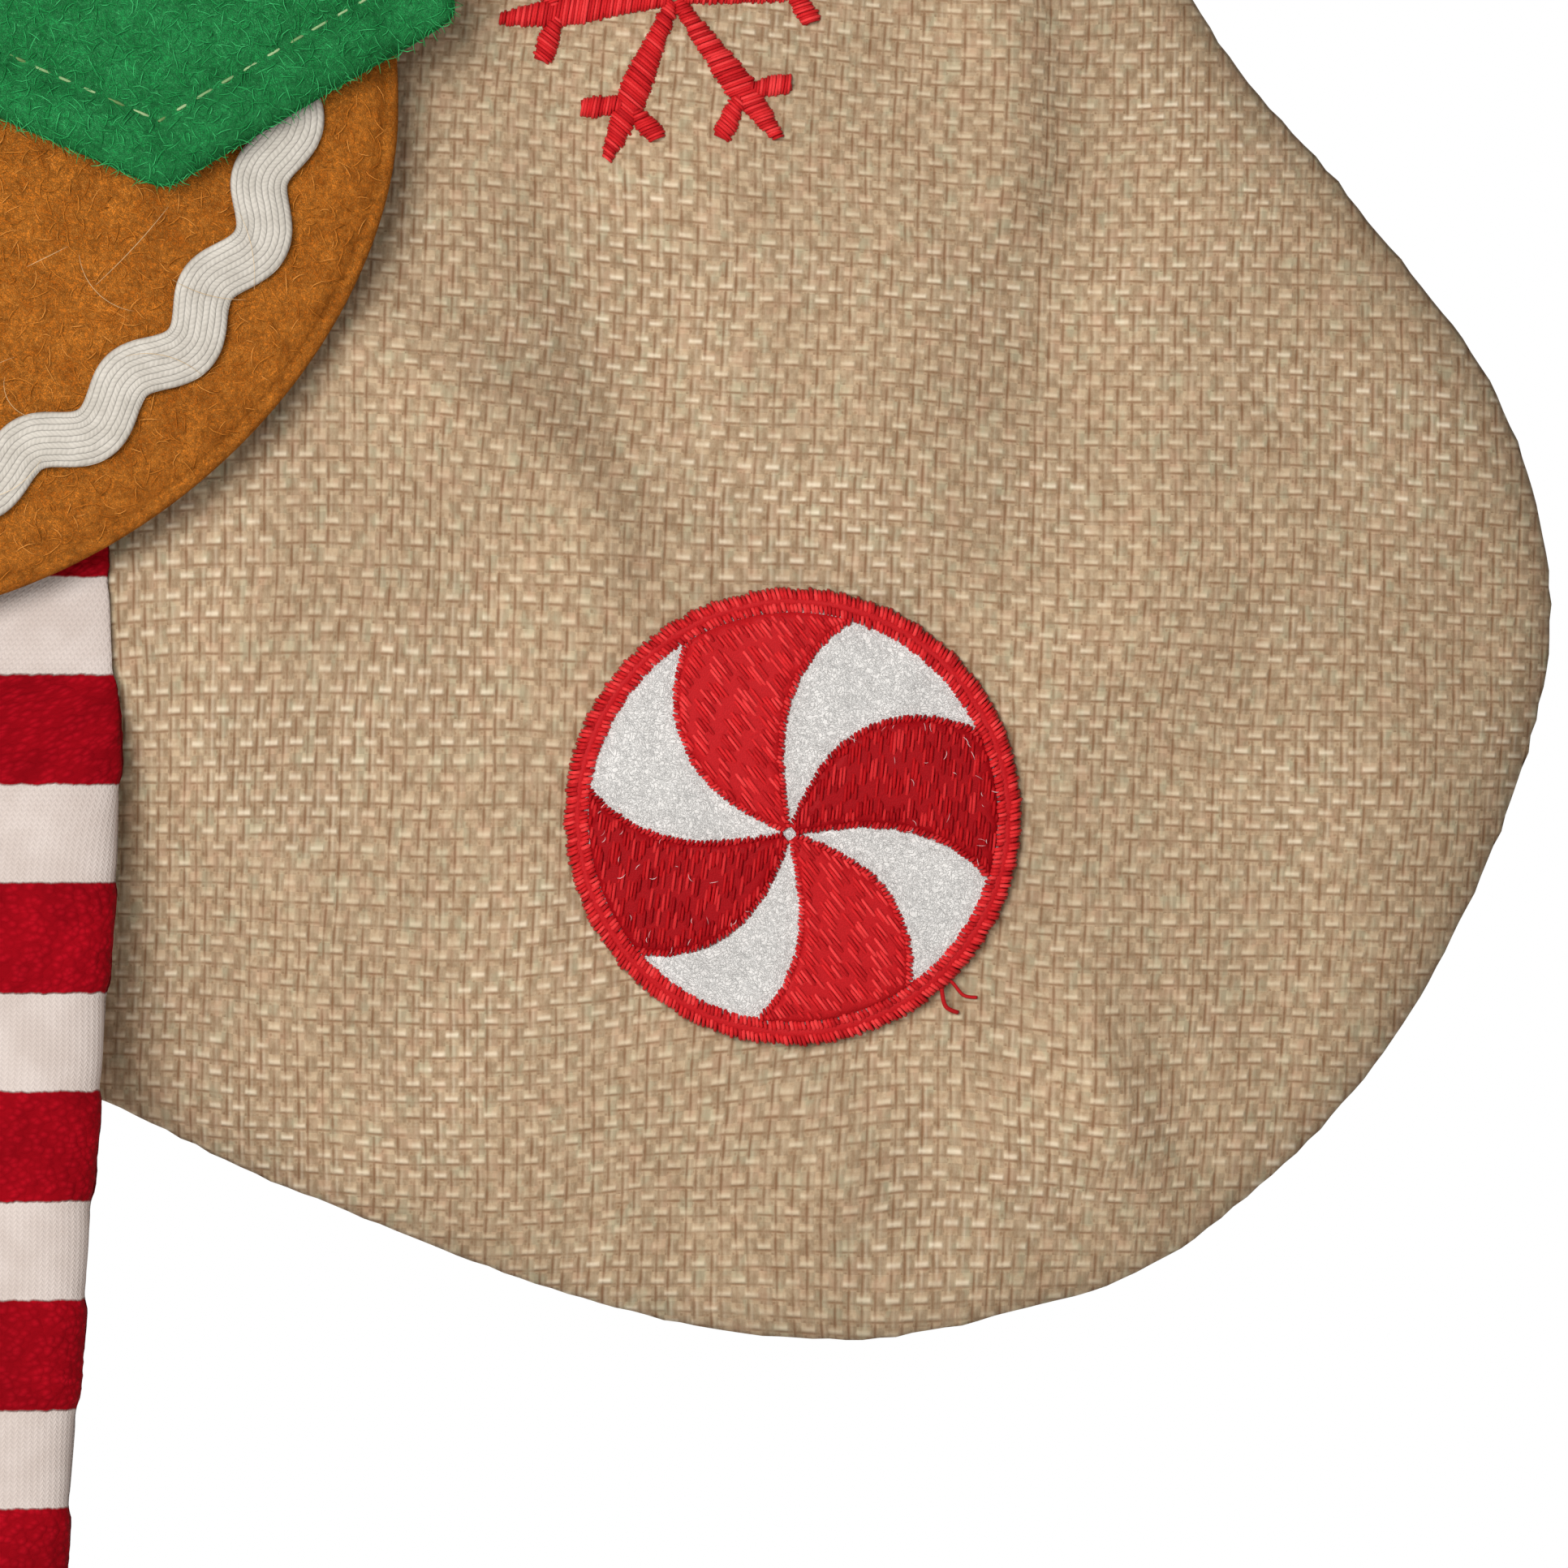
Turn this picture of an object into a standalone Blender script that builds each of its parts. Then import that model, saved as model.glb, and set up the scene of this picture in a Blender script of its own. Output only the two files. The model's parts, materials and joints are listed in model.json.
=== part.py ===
"""Hanging burlap Christmas stocking with a padded gingerbread figure on its front.

Metres, +Z up, the front faces -Y. The origin is the point where the hanging loop rests on its
hook. All sizes below are in millimetres and turn into metres when a piece is made.
"""

import math

import bmesh
import bpy
import numpy as np
from mathutils.geometry import delaunay_2d_cdt

MM = 0.001

# Stocking, in the hook's frame
LEG_LEFT = -3.0
LEG_RIGHT = 199.0
SHELL_TOP = -54.0
CUFF_TOP = -51.0
CUFF_BOTTOM = -149.0
TOE_X = 257.8
TOE_BOTTOM = -511.6
HEEL_X = -7.0
SEAM_HALF_GAP = 0.4
PUFF_FRONT = 13.0
PUFF_BACK = 9.0
PUFF_REACH = 55.0
SHELL_THICK = 1.2
LINING_IN = 1.6
LINING_THICK = 0.8
RING_DEPTHS = (4.0, 16.0)
FILL_SPACING = 40.0
CUFF_OUT = 0.8
CUFF_THICK = 5.0

# Hanging loop
LOOP_TAPE = 7.0
LOOP_THICK = 1.2
LOOP_HALF_WIDTH = 8.0
SWING_AXIS_Z = -49.8
LOOP_FOOT_Z = -50.3

# Embroidery and applique on the toe
PEPPERMINT_AT = (185.1, -461.2)
PEPPERMINT_RADIUS = 21.4
BORDER_WIDTH = 2.3
SWIRL_DROP = 2.0
FELT_THIN = 1.0
SNOWFLAKE_SPOTS = {
    "snowflake_right": (174.0, -384.3, 6.5),
    "snowflake_heel": (24.0, -424.0, 20.0),
    "snowflake_upper": (178.0, -228.0, 12.0),
}
SNOWFLAKE_ARM = 16.5
SATIN_HALF = 1.3
THREAD_LIFT = 0.5
THREAD_THICK = 1.0

# Gingerbread figure
FIGURE_X = 97.0
BODY_WIDEST_Z = -395.5
BODY_HALF_WIDTH = 51.0
BODY_DROP = 47.5
BODY_POWER = 1.8
FIGURE_ZERO_Z = BODY_WIDEST_Z + 11.5
HEAD_Z = -277.0
HEAD_HALF_WIDTH = 60.0
HEAD_HALF_HEIGHT = 54.0
FELT_THICK = 1.2
PAD_BACK_NEAR = 0.5
PAD_BACK_RISE = 5.0
SEAM_OFF = 7.0
BODY_CROWN = 7.3
HEAD_CROWN = 8.8
STUFFING_GAP = 0.35
FELT_SCALES = (1.0, 0.9, 0.65, 0.35)
VEST_GAP = 1.8
VEST_THICK = 2.0
BOW_OFF = 16.2
BOW_THICK = 3.0
RICKRACK_INSET = 10.5
RICKRACK_BAND = 5.2
RICKRACK_WAVE = 1.65
RICKRACK_PERIOD = 11.5
RICKRACK_THICK = 1.0

# Legs and feet
LEG_SPACING = 26.4
LEG_LEAN = 3.4 / 88.0
LEG_X_AT_BODY = 110.2
BODY_EDGE_Z = -444.0
HIP_SWAY_Z = -440.0
HIP_TOP_Z = -433.0
HIP_BOTTOM_Z = -446.2
LEG_HINGE_Z = -447.2
LEG_TOP_Z = -448.2
LEG_BOTTOM_Z = -556.4
ANKLE_Z = -557.5
FOOT_TOP_Z = -558.6
HINGE_Y = -15.0
LEG_MID_Y = -18.2

COLOURS = {
    "burlap": (0.44, 0.32, 0.20),
    "lining": (0.74, 0.68, 0.58),
    "fleece": (0.80, 0.75, 0.66),
    "cotton_tape": (0.62, 0.53, 0.40),
    "red_thread": (0.52, 0.015, 0.017),
    "white_felt": (0.60, 0.57, 0.54),
    "brown_felt": (0.315, 0.103, 0.020),
    "green_felt": (0.027, 0.20, 0.058),
    "red_felt": (0.40, 0.012, 0.014),
    "rickrack": (0.55, 0.50, 0.42),
    "polyester_fill": (0.85, 0.85, 0.83),
    "striped_knit": (0.48, 0.22, 0.20),
    "black_plastic": (0.012, 0.010, 0.010),
    "pink_felt": (0.62, 0.20, 0.18),
    "black_thread": (0.03, 0.018, 0.012),
}


# ---------------------------------------------------------------- scene and object helpers


def clear_scene():
    for item in list(bpy.data.objects):
        bpy.data.objects.remove(item, do_unlink=True)


def material(name):
    made = bpy.data.materials.get(name)
    if made is None:
        made = bpy.data.materials.new(name)
        made.use_nodes = True
        shader = made.node_tree.nodes["Principled BSDF"]
        shader.inputs["Base Color"].default_value = (*COLOURS[name], 1.0)
        shader.inputs["Roughness"].default_value = 0.25 if name == "black_plastic" else 0.9
        shader.inputs["Metallic"].default_value = 0.0
    return made


def make(name, points, faces, finish, pivot):
    """One closed solid, from millimetre points, with its origin on its own joint's axis."""
    mesh = bpy.data.meshes.new(name)
    local = (np.asarray(points, float) - np.asarray(pivot, float)) * MM
    mesh.from_pydata([tuple(p) for p in local], [], [tuple(f) for f in faces])
    work = bmesh.new()
    work.from_mesh(mesh)
    bmesh.ops.recalc_face_normals(work, faces=work.faces)
    if work.calc_volume(signed=True) < 0:
        bmesh.ops.reverse_faces(work, faces=work.faces)
    work.to_mesh(mesh)
    work.free()
    mesh.shade_smooth()
    mesh.set_sharp_from_angle(angle=math.radians(40))
    mesh.materials.append(material(finish))
    item = bpy.data.objects.new(name, mesh)
    item.location = [value * MM for value in pivot]
    bpy.context.scene.collection.objects.link(item)
    return item


# ---------------------------------------------------------------- flat outlines


def smooth_curve(points, steps, closed=False):
    """A Catmull-Rom curve through the points, with a number of steps for each span."""
    pts = np.asarray(points, float)
    count = len(pts)
    spans = count if closed else count - 1
    out = []
    for i in range(spans):
        if closed:
            a, b, c, d = (pts[(i + k - 1) % count] for k in range(4))
        else:
            a, b, c, d = (pts[min(max(i + k - 1, 0), count - 1)] for k in range(4))
        for t in np.arange(steps) / steps:
            bend = (2 * a - 5 * b + 4 * c - d) * t * t + (3 * b - a - 3 * c + d) * t**3
            out.append(0.5 * (2 * b + (c - a) * t + bend))
    if not closed:
        out.append(pts[-1])
    return np.array(out)


def seam_points():
    """Points along the side seam: down the toe side, round the foot and up the heel side."""
    return [
        (LEG_RIGHT, SHELL_TOP),
        (LEG_RIGHT, -110.0),
        (LEG_RIGHT, -168.0),
        (LEG_RIGHT, -226.0),
        (LEG_RIGHT + 0.5, -284.0),
        (205.0, -334.0),
        (222.5, -381.0),
        (239.0, -402.5),
        (252.6, -420.9),
        (TOE_X, -441.0),
        (253.1, -462.5),
        (240.8, -485.5),
        (222.0, -503.0),
        (205.0, -509.2),
        (188.0, TOE_BOTTOM),
        (165.4, -507.8),
        (137.7, -497.4),
        (115.0, -487.5),
        (86.0, -481.0),
        (55.0, -484.5),
        (30.0, -485.5),
        (6.0, -474.0),
        (HEEL_X, -446.0),
        (HEEL_X + 1.0, -409.0),
        (LEG_LEFT, -344.0),
        (LEG_LEFT, -284.0),
        (LEG_LEFT, -226.0),
        (LEG_LEFT, -168.0),
        (LEG_LEFT, -110.0),
        (LEG_LEFT, SHELL_TOP),
    ]


def seam_line():
    """The dense seam, carried straight up past the mouth so that the mouth has no puff of its own."""
    line = smooth_curve(seam_points(), 16)
    above = 200.0
    start = line[0] + np.array([0.0, above])
    end = line[-1] + np.array([0.0, above])
    return np.vstack([start, line, end])


SEAM = seam_line()


def seam_distance(flat):
    """Distance to the seam, and the unit vector that points from the seam to the inside."""
    flat = np.asarray(flat, float)
    a, b = SEAM[:-1], SEAM[1:]
    along = b - a
    length2 = (along**2).sum(1)
    share = ((flat[:, None] - a) * along).sum(2) / length2
    share = np.clip(share, 0, 1)
    near = a + share[..., None] * along
    gap = np.linalg.norm(flat[:, None] - near, axis=2)
    pick = gap.argmin(1)
    row = np.arange(len(flat))
    distance = gap[row, pick]
    direction = along[pick] / np.sqrt(length2[pick])[:, None]
    inside = np.stack([direction[:, 1], -direction[:, 0]], 1)
    towards = flat - near[row, pick]
    clear = distance > 0.5
    inward = inside.copy()
    inward[clear] = towards[clear] / distance[clear, None]
    return distance, inward


def panel_height(flat, puff=PUFF_FRONT):
    """How far the stocking's outer face stands from the seam plane."""
    distance, _ = seam_distance(flat)
    share = 1 - np.clip(distance / PUFF_REACH, 0, 1)
    return SEAM_HALF_GAP + puff * np.sqrt(1 - share**2)


def panel_points(flat, off, front=True):
    """Points off the stocking's outer face, measured square to it: + is away from the stocking."""
    flat = np.asarray(flat, float)
    puff = PUFF_FRONT if front else PUFF_BACK
    distance, inward = seam_distance(flat)
    cosine = 1 - np.clip(distance / PUFF_REACH, 0, 1)
    sine = np.sqrt(1 - cosine**2)
    across, out = puff * cosine, PUFF_REACH * sine
    size = np.sqrt(across**2 + out**2)
    height = SEAM_HALF_GAP + puff * sine + off * out / size
    moved = flat - inward * (off * across / size)[:, None]
    side = -1.0 if front else 1.0
    return np.column_stack([moved[:, 0], side * height, moved[:, 1]])


# ---------------------------------------------------------------- solids from flat nets


def flat_net(outline, extra=()):
    """Triangles that fill a closed outline, with extra points inside it."""
    outline = [tuple(p) for p in outline]
    points = outline + [tuple(p) for p in extra]
    count = len(outline)
    edges = [(i, (i + 1) % count) for i in range(count)]
    verts, _, faces, *_ = delaunay_2d_cdt(points, edges, [], 1, 1e-4)
    return np.array([tuple(v) for v in verts]), [tuple(f) for f in faces]


def rim_edges(faces):
    """The directed edges that only one face has."""
    used = {(f[i], f[(i + 1) % len(f)]) for f in faces for i in range(len(f))}
    return [(a, b) for a, b in sorted(used) if (b, a) not in used]


def between(near, far, faces):
    """The solid between two layers of points that share one net."""
    count = len(near)
    solid = [tuple(f) for f in faces]
    solid += [tuple(i + count for i in reversed(f)) for f in faces]
    solid += [(b, a, a + count, b + count) for a, b in rim_edges(faces)]
    return np.vstack([near, far]), solid


def offset_ring(line, distance):
    """The line moved to the inside, square to the seam."""
    _, inward = seam_distance(line)
    return line + inward * distance


def stocking_net():
    """The net that the shell and the lining share, closer near the seam where the puff turns."""
    line = smooth_curve(seam_points(), 2)
    rings = np.vstack([offset_ring(line[1:-1], depth) for depth in RING_DEPTHS])
    columns = np.arange(LEG_LEFT + FILL_SPACING, TOE_X, FILL_SPACING)
    rows = np.arange(TOE_BOTTOM, SHELL_TOP - 15.0, FILL_SPACING)
    fill = [(x, z) for x in columns for z in rows if is_inside((x, z), line)]
    depth, _ = seam_distance(fill)
    fill = [spot for spot, deep in zip(fill, depth) if deep > RING_DEPTHS[-1] + 10.0]
    width = LEG_RIGHT - LEG_LEFT
    mouth = [(LEG_LEFT + step, SHELL_TOP) for step in mouth_steps(width)]
    return flat_net(list(line) + mouth, [*rings, *fill])


def mouth_steps(width):
    """Distances from the heel side at which a level edge across the leg has its points."""
    near = list(RING_DEPTHS) + [28.0, 42.0, PUFF_REACH + 1.0]
    return near + [width - step for step in reversed(near)]


def is_inside(point, outline):
    """True if the point is in the closed outline."""
    x, z = point
    crossings = 0
    for (ax, az), (bx, bz) in zip(outline, np.roll(outline, -1, axis=0)):
        if (az > z) != (bz > z) and x < ax + (z - az) * (bx - ax) / (bz - az):
            crossings += 1
    return crossings % 2 == 1


# ---------------------------------------------------------------- shapes of the figure


def superellipse(half_width, half_height, power, angles):
    """Points on a superellipse about the origin, at the given angles."""
    cosine, sine = np.cos(angles), np.sin(angles)
    x = half_width * np.sign(cosine) * np.abs(cosine) ** (2 / power)
    z = half_height * np.sign(sine) * np.abs(sine) ** (2 / power)
    return np.column_stack([x, z])


def body_outline():
    """The round belly, and shoulders that draw in to the neck."""
    belly = superellipse(BODY_HALF_WIDTH, BODY_DROP, BODY_POWER, np.linspace(0, -math.pi, 15))
    side = [(-51.0, 0.0), (-50.0, 14.0), (-46.5, 34.0), (-40.0, 52.0), (-26.0, 61.0), (0.0, 63.0)]
    left = smooth_curve(side, 1)[1:]
    right = left[-2::-1] * np.array([-1.0, 1.0])
    return np.vstack([belly, left, right]) + np.array([FIGURE_X, BODY_WIDEST_Z])


def head_outline():
    turns = np.arange(26) / 26 * 2 * math.pi
    return superellipse(HEAD_HALF_WIDTH, HEAD_HALF_HEIGHT, 2.1, turns) + np.array([FIGURE_X, HEAD_Z])


BODY_CENTRE = np.array([FIGURE_X, BODY_WIDEST_Z + 8.0])
HEAD_CENTRE = np.array([FIGURE_X, HEAD_Z])


def radial_share(flat, outline, centre):
    """How far out each point is, from 0 at the centre to 1 on the outline."""
    rim = np.asarray(outline) - centre
    turn = np.arctan2(rim[:, 1], rim[:, 0])
    order = np.argsort(turn)
    turn, reach = turn[order], np.hypot(rim[:, 0], rim[:, 1])[order]
    spots = np.asarray(flat, float) - centre
    radius = np.interp(np.arctan2(spots[:, 1], spots[:, 0]), turn, reach, period=2 * math.pi)
    return np.hypot(spots[:, 0], spots[:, 1]) / radius


def dome(share):
    """The crown of a stuffed pad: 1 in the middle, 0 at the seam, steep near the seam."""
    return np.clip(1 - np.clip(share, 0, 1) ** 2.2, 0, 1) ** 0.62


def figure_points(flat, off):
    """Points a given distance straight in front of the stocking's face."""
    flat = np.asarray(flat, float)
    return np.column_stack([flat[:, 0], -(panel_height(flat) + off), flat[:, 1]])


def body_front_off(flat):
    return SEAM_OFF + FELT_THICK + BODY_CROWN * dome(radial_share(flat, body_outline(), BODY_CENTRE))


def head_front_off(flat):
    return SEAM_OFF + FELT_THICK + HEAD_CROWN * dome(radial_share(flat, head_outline(), HEAD_CENTRE))


def star_net(outline, centre, scales):
    """Rings of an outline drawn in towards a centre, and the faces that join them."""
    count = len(outline)
    rings = [centre + (np.asarray(outline) - centre) * scale for scale in scales]
    flat = np.vstack([*rings, [centre]])
    faces = []
    for ring in range(len(scales) - 1):
        for i in range(count):
            j = (i + 1) % count
            a, b = ring * count, (ring + 1) * count
            faces += [(a + i, a + j, b + j), (a + i, b + j, b + i)]
    last, tip = (len(scales) - 1) * count, len(scales) * count
    faces += [(last + i, last + (i + 1) % count, tip) for i in range(count)]
    share = np.concatenate([np.repeat(scales, count), [0.0]])
    return flat, faces, share


def stuffed_part(name, outline, centre, crown, finish):
    """A stuffed felt pad: a back cut, a front cut and the filling between them."""
    flat, faces, share = star_net(outline, centre, FELT_SCALES)
    rear = PAD_BACK_NEAR + PAD_BACK_RISE * share**2
    front = SEAM_OFF + crown * dome(share)
    back_cut = between(figure_points(flat, rear), figure_points(flat, rear + FELT_THICK), faces)
    front_cut = between(figure_points(flat, front), figure_points(flat, front + FELT_THICK), faces)
    make(f"{name}_back", *back_cut, finish, SWING_AXIS)
    make(f"{name}_front", *front_cut, finish, SWING_AXIS)
    flat, faces, share = star_net(outline, centre, FELT_SCALES[1:])
    low = PAD_BACK_NEAR + PAD_BACK_RISE * share**2 + FELT_THICK + STUFFING_GAP
    high = SEAM_OFF + crown * dome(share) - STUFFING_GAP
    filling = between(figure_points(flat, low), figure_points(flat, high), faces)
    make(f"{name}_stuffing", *filling, "polyester_fill", SWING_AXIS)


def strip_net(path, half_width, wave=0.0, period=1.0, spacing=2.0):
    """A flat band along a path, which may swing from side to side as rickrack does."""
    path = np.asarray(path, float)
    run = np.concatenate([[0.0], np.cumsum(np.linalg.norm(np.diff(path, axis=0), axis=1))])
    at = np.linspace(0, run[-1], max(3, round(run[-1] / spacing) + 1))
    line = np.column_stack([np.interp(at, run, path[:, k]) for k in (0, 1)])
    along = np.gradient(line, axis=0)
    along /= np.linalg.norm(along, axis=1)[:, None]
    across = np.column_stack([-along[:, 1], along[:, 0]])
    middle = line + across * (wave * np.sin(2 * math.pi * at / period))[:, None]
    count = len(line)
    flat = np.vstack([middle - across * half_width, middle + across * half_width])
    faces = []
    for i in range(count - 1):
        faces += [(i, i + 1, count + i + 1), (i, count + i + 1, count + i)]
    return flat, faces


def trim(name, net, surface, lift, thick, finish, pivot, ground=figure_points):
    """A thin flat piece that lies on a surface, given by how far that stands off the stocking."""
    flat, faces = net
    base = surface(flat) + lift
    make(name, *between(ground(flat, base), ground(flat, base + thick), faces), finish, pivot)


# ---------------------------------------------------------------- the pieces

SWING_AXIS = (0.0, 0.0, SWING_AXIS_Z)


def hanging_loop():
    """A cotton tape doubled into a teardrop; its eye faces the front, for a peg."""
    half = [(1.3, -43.5), (3.6, -32.0), (7.0, -19.0), (LOOP_HALF_WIDTH - 0.6, -10.0), (5.2, -2.4)]
    right = smooth_curve([*half, (0.0, LOOP_THICK / 2), (-5.2, -2.4)], 2)[:11]
    centre = np.vstack([[(0.0, -46.0)], right, right[-2::-1] * np.array([-1.0, 1.0])])
    along = np.roll(centre, -1, axis=0) - np.roll(centre, 1, axis=0)
    along /= np.linalg.norm(along, axis=1)[:, None]
    out = np.column_stack([along[:, 1], -along[:, 0]]) * LOOP_THICK / 2
    outer, inner = centre + out, centre - out
    outer[0] = (0.0, LOOP_FOOT_Z)
    outer[1] = (LOOP_THICK + 0.1, LOOP_FOOT_Z)
    outer[-1] = (-LOOP_THICK - 0.1, LOOP_FOOT_Z)
    count = len(centre)
    faces = []
    for i in range(count):
        j = (i + 1) % count
        faces += [(i, j, count + j), (i, count + j, count + i)]
    flat = np.vstack([outer, inner])
    half = LOOP_TAPE / 2
    near, far = (np.column_stack([flat[:, 0], np.full(2 * count, y), flat[:, 1]]) for y in (-half, half))
    make("hanging_loop", *between(near, far, faces), "cotton_tape", (0.0, 0.0, 0.0))


def shell_and_lining():
    flat, faces = stocking_net()
    for side, front in (("front", True), ("back", False)):
        outer = panel_points(flat, 0.0, front)
        inner = panel_points(flat, -SHELL_THICK, front)
        make(f"shell_{side}", *between(outer, inner, faces), "burlap", SWING_AXIS)
        outer = panel_points(flat, -LINING_IN, front)
        inner = panel_points(flat, -LINING_IN - LINING_THICK, front)
        make(f"lining_{side}", *between(outer, inner, faces), "lining", SWING_AXIS)


def cuffs():
    """The plush cuff, a front and a back cut, each wrapped round half of the leg."""
    width = LEG_RIGHT - LEG_LEFT
    steps = [0.0, *mouth_steps(width), width]
    count = len(steps)
    flat = np.array([(LEG_LEFT + step, z) for z in (CUFF_BOTTOM, CUFF_TOP) for step in steps])
    faces = []
    for i in range(count - 1):
        faces += [(i, i + 1, count + i + 1), (i, count + i + 1, count + i)]
    for side, front in (("front", True), ("back", False)):
        inner = panel_points(flat, CUFF_OUT, front)
        outer = panel_points(flat, CUFF_OUT + CUFF_THICK, front)
        make(f"cuff_{side}", *between(inner, outer, faces), "fleece", SWING_AXIS)


def snowflake_outline(arm):
    """One sixth of a six-armed snowflake with two side branches, turned six times."""
    half = SATIN_HALF
    edge = [
        (half * 1.73, half),
        (arm * 0.58, half),
        (arm * 0.58 + 1.6, half + 3.2),
        (arm * 0.58 + 3.5, half + 2.3),
        (arm * 0.58 + 2.6, half),
        (arm - 0.8, half * 0.9),
    ]
    sector = edge + [(arm, 0.0)] + [(a, -b) for a, b in reversed(edge[1:])]
    points = []
    for turn in range(6):
        angle = -turn * math.pi / 3
        cosine, sine = math.cos(angle), math.sin(angle)
        points += [(a * cosine - b * sine, a * sine + b * cosine) for a, b in sector]
    return np.array(points)


def snowflakes():
    for name, (x, z, turn) in SNOWFLAKE_SPOTS.items():
        angle = math.radians(turn)
        spin = np.array([[math.cos(angle), math.sin(angle)], [-math.sin(angle), math.cos(angle)]])
        outline = snowflake_outline(SNOWFLAKE_ARM) @ spin + np.array([x, z])
        flat, faces = flat_net(outline)
        near = panel_points(flat, THREAD_LIFT)
        far = panel_points(flat, THREAD_LIFT + THREAD_THICK)
        make(name, *between(near, far, faces), "red_thread", SWING_AXIS)


def circle(centre, radius, count):
    turns = np.arange(count) / count * 2 * math.pi
    return np.asarray(centre) + radius * np.column_stack([np.cos(turns), np.sin(turns)])


# Each blade's two edges: its direction at the swirl's centre, and how far it turns back at the rim
SWIRL_BLADES = {
    "peppermint_blade_top": ((102.5, 26.0), (150.0, 32.0)),
    "peppermint_blade_left": ((188.0, 25.0), (240.0, 32.0)),
    "peppermint_blade_bottom": ((282.5, 26.0), (333.0, 32.0)),
    "peppermint_blade_right": ((373.0, 30.0), (424.0, 37.0)),
}


def swirl_edge(start, twist, felt_radius):
    """One curved blade edge, from near the swirl's centre out to the felt's rim."""
    centre = np.array(PEPPERMINT_AT) - np.array([0.0, SWIRL_DROP])
    points = []
    for radius in (1.4, 6.0, 11.0, 15.5, 18.5, 21.5, 24.0):
        angle = math.radians(start - twist * (radius / felt_radius) ** 2)
        spot = centre + radius * np.array([math.cos(angle), math.sin(angle)])
        from_middle = spot - np.array(PEPPERMINT_AT)
        reach = np.linalg.norm(from_middle)
        if reach > felt_radius:
            points.append(np.array(PEPPERMINT_AT) + from_middle * felt_radius / reach)
            break
        points.append(spot)
    return points


def peppermint():
    felt_radius = PEPPERMINT_RADIUS - BORDER_WIDTH - 0.3
    felt = circle(PEPPERMINT_AT, felt_radius, 32)
    inner = [*circle(PEPPERMINT_AT, felt_radius * 0.6, 12), PEPPERMINT_AT]
    flat, faces = flat_net(felt, inner)
    near, far = (panel_points(flat, THREAD_LIFT + step) for step in (0.0, FELT_THIN))
    make("peppermint_felt", *between(near, far, faces), "white_felt", SWING_AXIS)
    count = 32
    radii = (PEPPERMINT_RADIUS, PEPPERMINT_RADIUS - BORDER_WIDTH)
    ring = np.vstack([circle(PEPPERMINT_AT, radius, count) for radius in radii])
    faces = []
    for i in range(count):
        j = (i + 1) % count
        faces += [(i, j, count + j), (i, count + j, count + i)]
    near, far = (panel_points(ring, THREAD_LIFT + step) for step in (0.0, FELT_THIN + THREAD_THICK))
    make("peppermint_border", *between(near, far, faces), "red_thread", SWING_AXIS)
    lift = THREAD_LIFT + FELT_THIN + 0.3
    for name, (right, left) in SWIRL_BLADES.items():
        one = swirl_edge(*right, felt_radius)
        two = swirl_edge(*left, felt_radius)
        start, end = (math.atan2(*(p[-1] - np.array(PEPPERMINT_AT))[::-1]) for p in (one, two))
        span = (end - start) % (2 * math.pi)
        turns = [start + span * step / 5 for step in range(1, 5)]
        rim = [np.array(PEPPERMINT_AT) + felt_radius * np.array([math.cos(t), math.sin(t)]) for t in turns]
        flat, faces = flat_net([*one, *rim, *reversed(two)])
        near, far = (panel_points(flat, lift + step) for step in (0.0, THREAD_THICK * 0.8))
        make(name, *between(near, far, faces), "red_thread", SWING_AXIS)


def gingerbread_pads():
    stuffed_part("body", body_outline(), BODY_CENTRE, BODY_CROWN, "brown_felt")
    stuffed_part("head", head_outline(), HEAD_CENTRE, HEAD_CROWN, "brown_felt")


def icing_trims():
    """Rickrack that runs just inside the belly's edge and over the brow."""
    middle = np.array([FIGURE_X, BODY_WIDEST_Z])
    turns = np.linspace(math.radians(3), -math.radians(183), 60)
    inset_width, inset_drop = BODY_HALF_WIDTH - RICKRACK_INSET, BODY_DROP - RICKRACK_INSET
    path = superellipse(inset_width, inset_drop, BODY_POWER, turns) + middle
    net = strip_net(path, RICKRACK_BAND / 2, RICKRACK_WAVE, RICKRACK_PERIOD, 2.3)
    trim("body_rickrack", net, body_front_off, 0.4, RICKRACK_THICK, "rickrack", SWING_AXIS)
    turns = np.linspace(math.radians(28), math.radians(152), 40)
    inset_width, inset_height = HEAD_HALF_WIDTH - RICKRACK_INSET, HEAD_HALF_HEIGHT - RICKRACK_INSET
    path = superellipse(inset_width, inset_height, 2.1, turns) + HEAD_CENTRE
    net = strip_net(path, RICKRACK_BAND / 2, RICKRACK_WAVE, RICKRACK_PERIOD, 2.3)
    trim("head_rickrack", net, head_front_off, 0.4, RICKRACK_THICK, "rickrack", SWING_AXIS)


def vest():
    """Two felt fronts that hang over the belly and flare a little past its sides."""
    half = [
        (0.4, -4.9),
        (14.0, -11.2),
        (28.8, -17.5),
        (42.0, -9.6),
        (55.8, -1.2),
        (54.0, 10.0),
        (50.0, 22.0),
        (42.5, 30.0),
        (38.5, 42.0),
        (26.0, 48.0),
        (13.0, 48.0),
        (6.5, 38.0),
        (0.4, 30.0),
    ]
    for name, side in (("vest_right", 1.0), ("vest_left", -1.0)):
        outline = np.array([(FIGURE_X + side * x, FIGURE_ZERO_Z + z) for x, z in half])
        spots = [(x, z) for x in range(10, 51, 10) for z in range(-8, 44, 10)]
        spots = np.array([(FIGURE_X + side * x, FIGURE_ZERO_Z + z) for x, z in spots])
        fill = [spot for spot in spots if is_inside(spot, outline)]
        net = flat_net(outline, fill)
        trim(name, net, body_front_off, VEST_GAP, VEST_THICK, "green_felt", SWING_AXIS)


def vest_front_off(flat):
    return body_front_off(flat) + VEST_GAP + VEST_THICK


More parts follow.
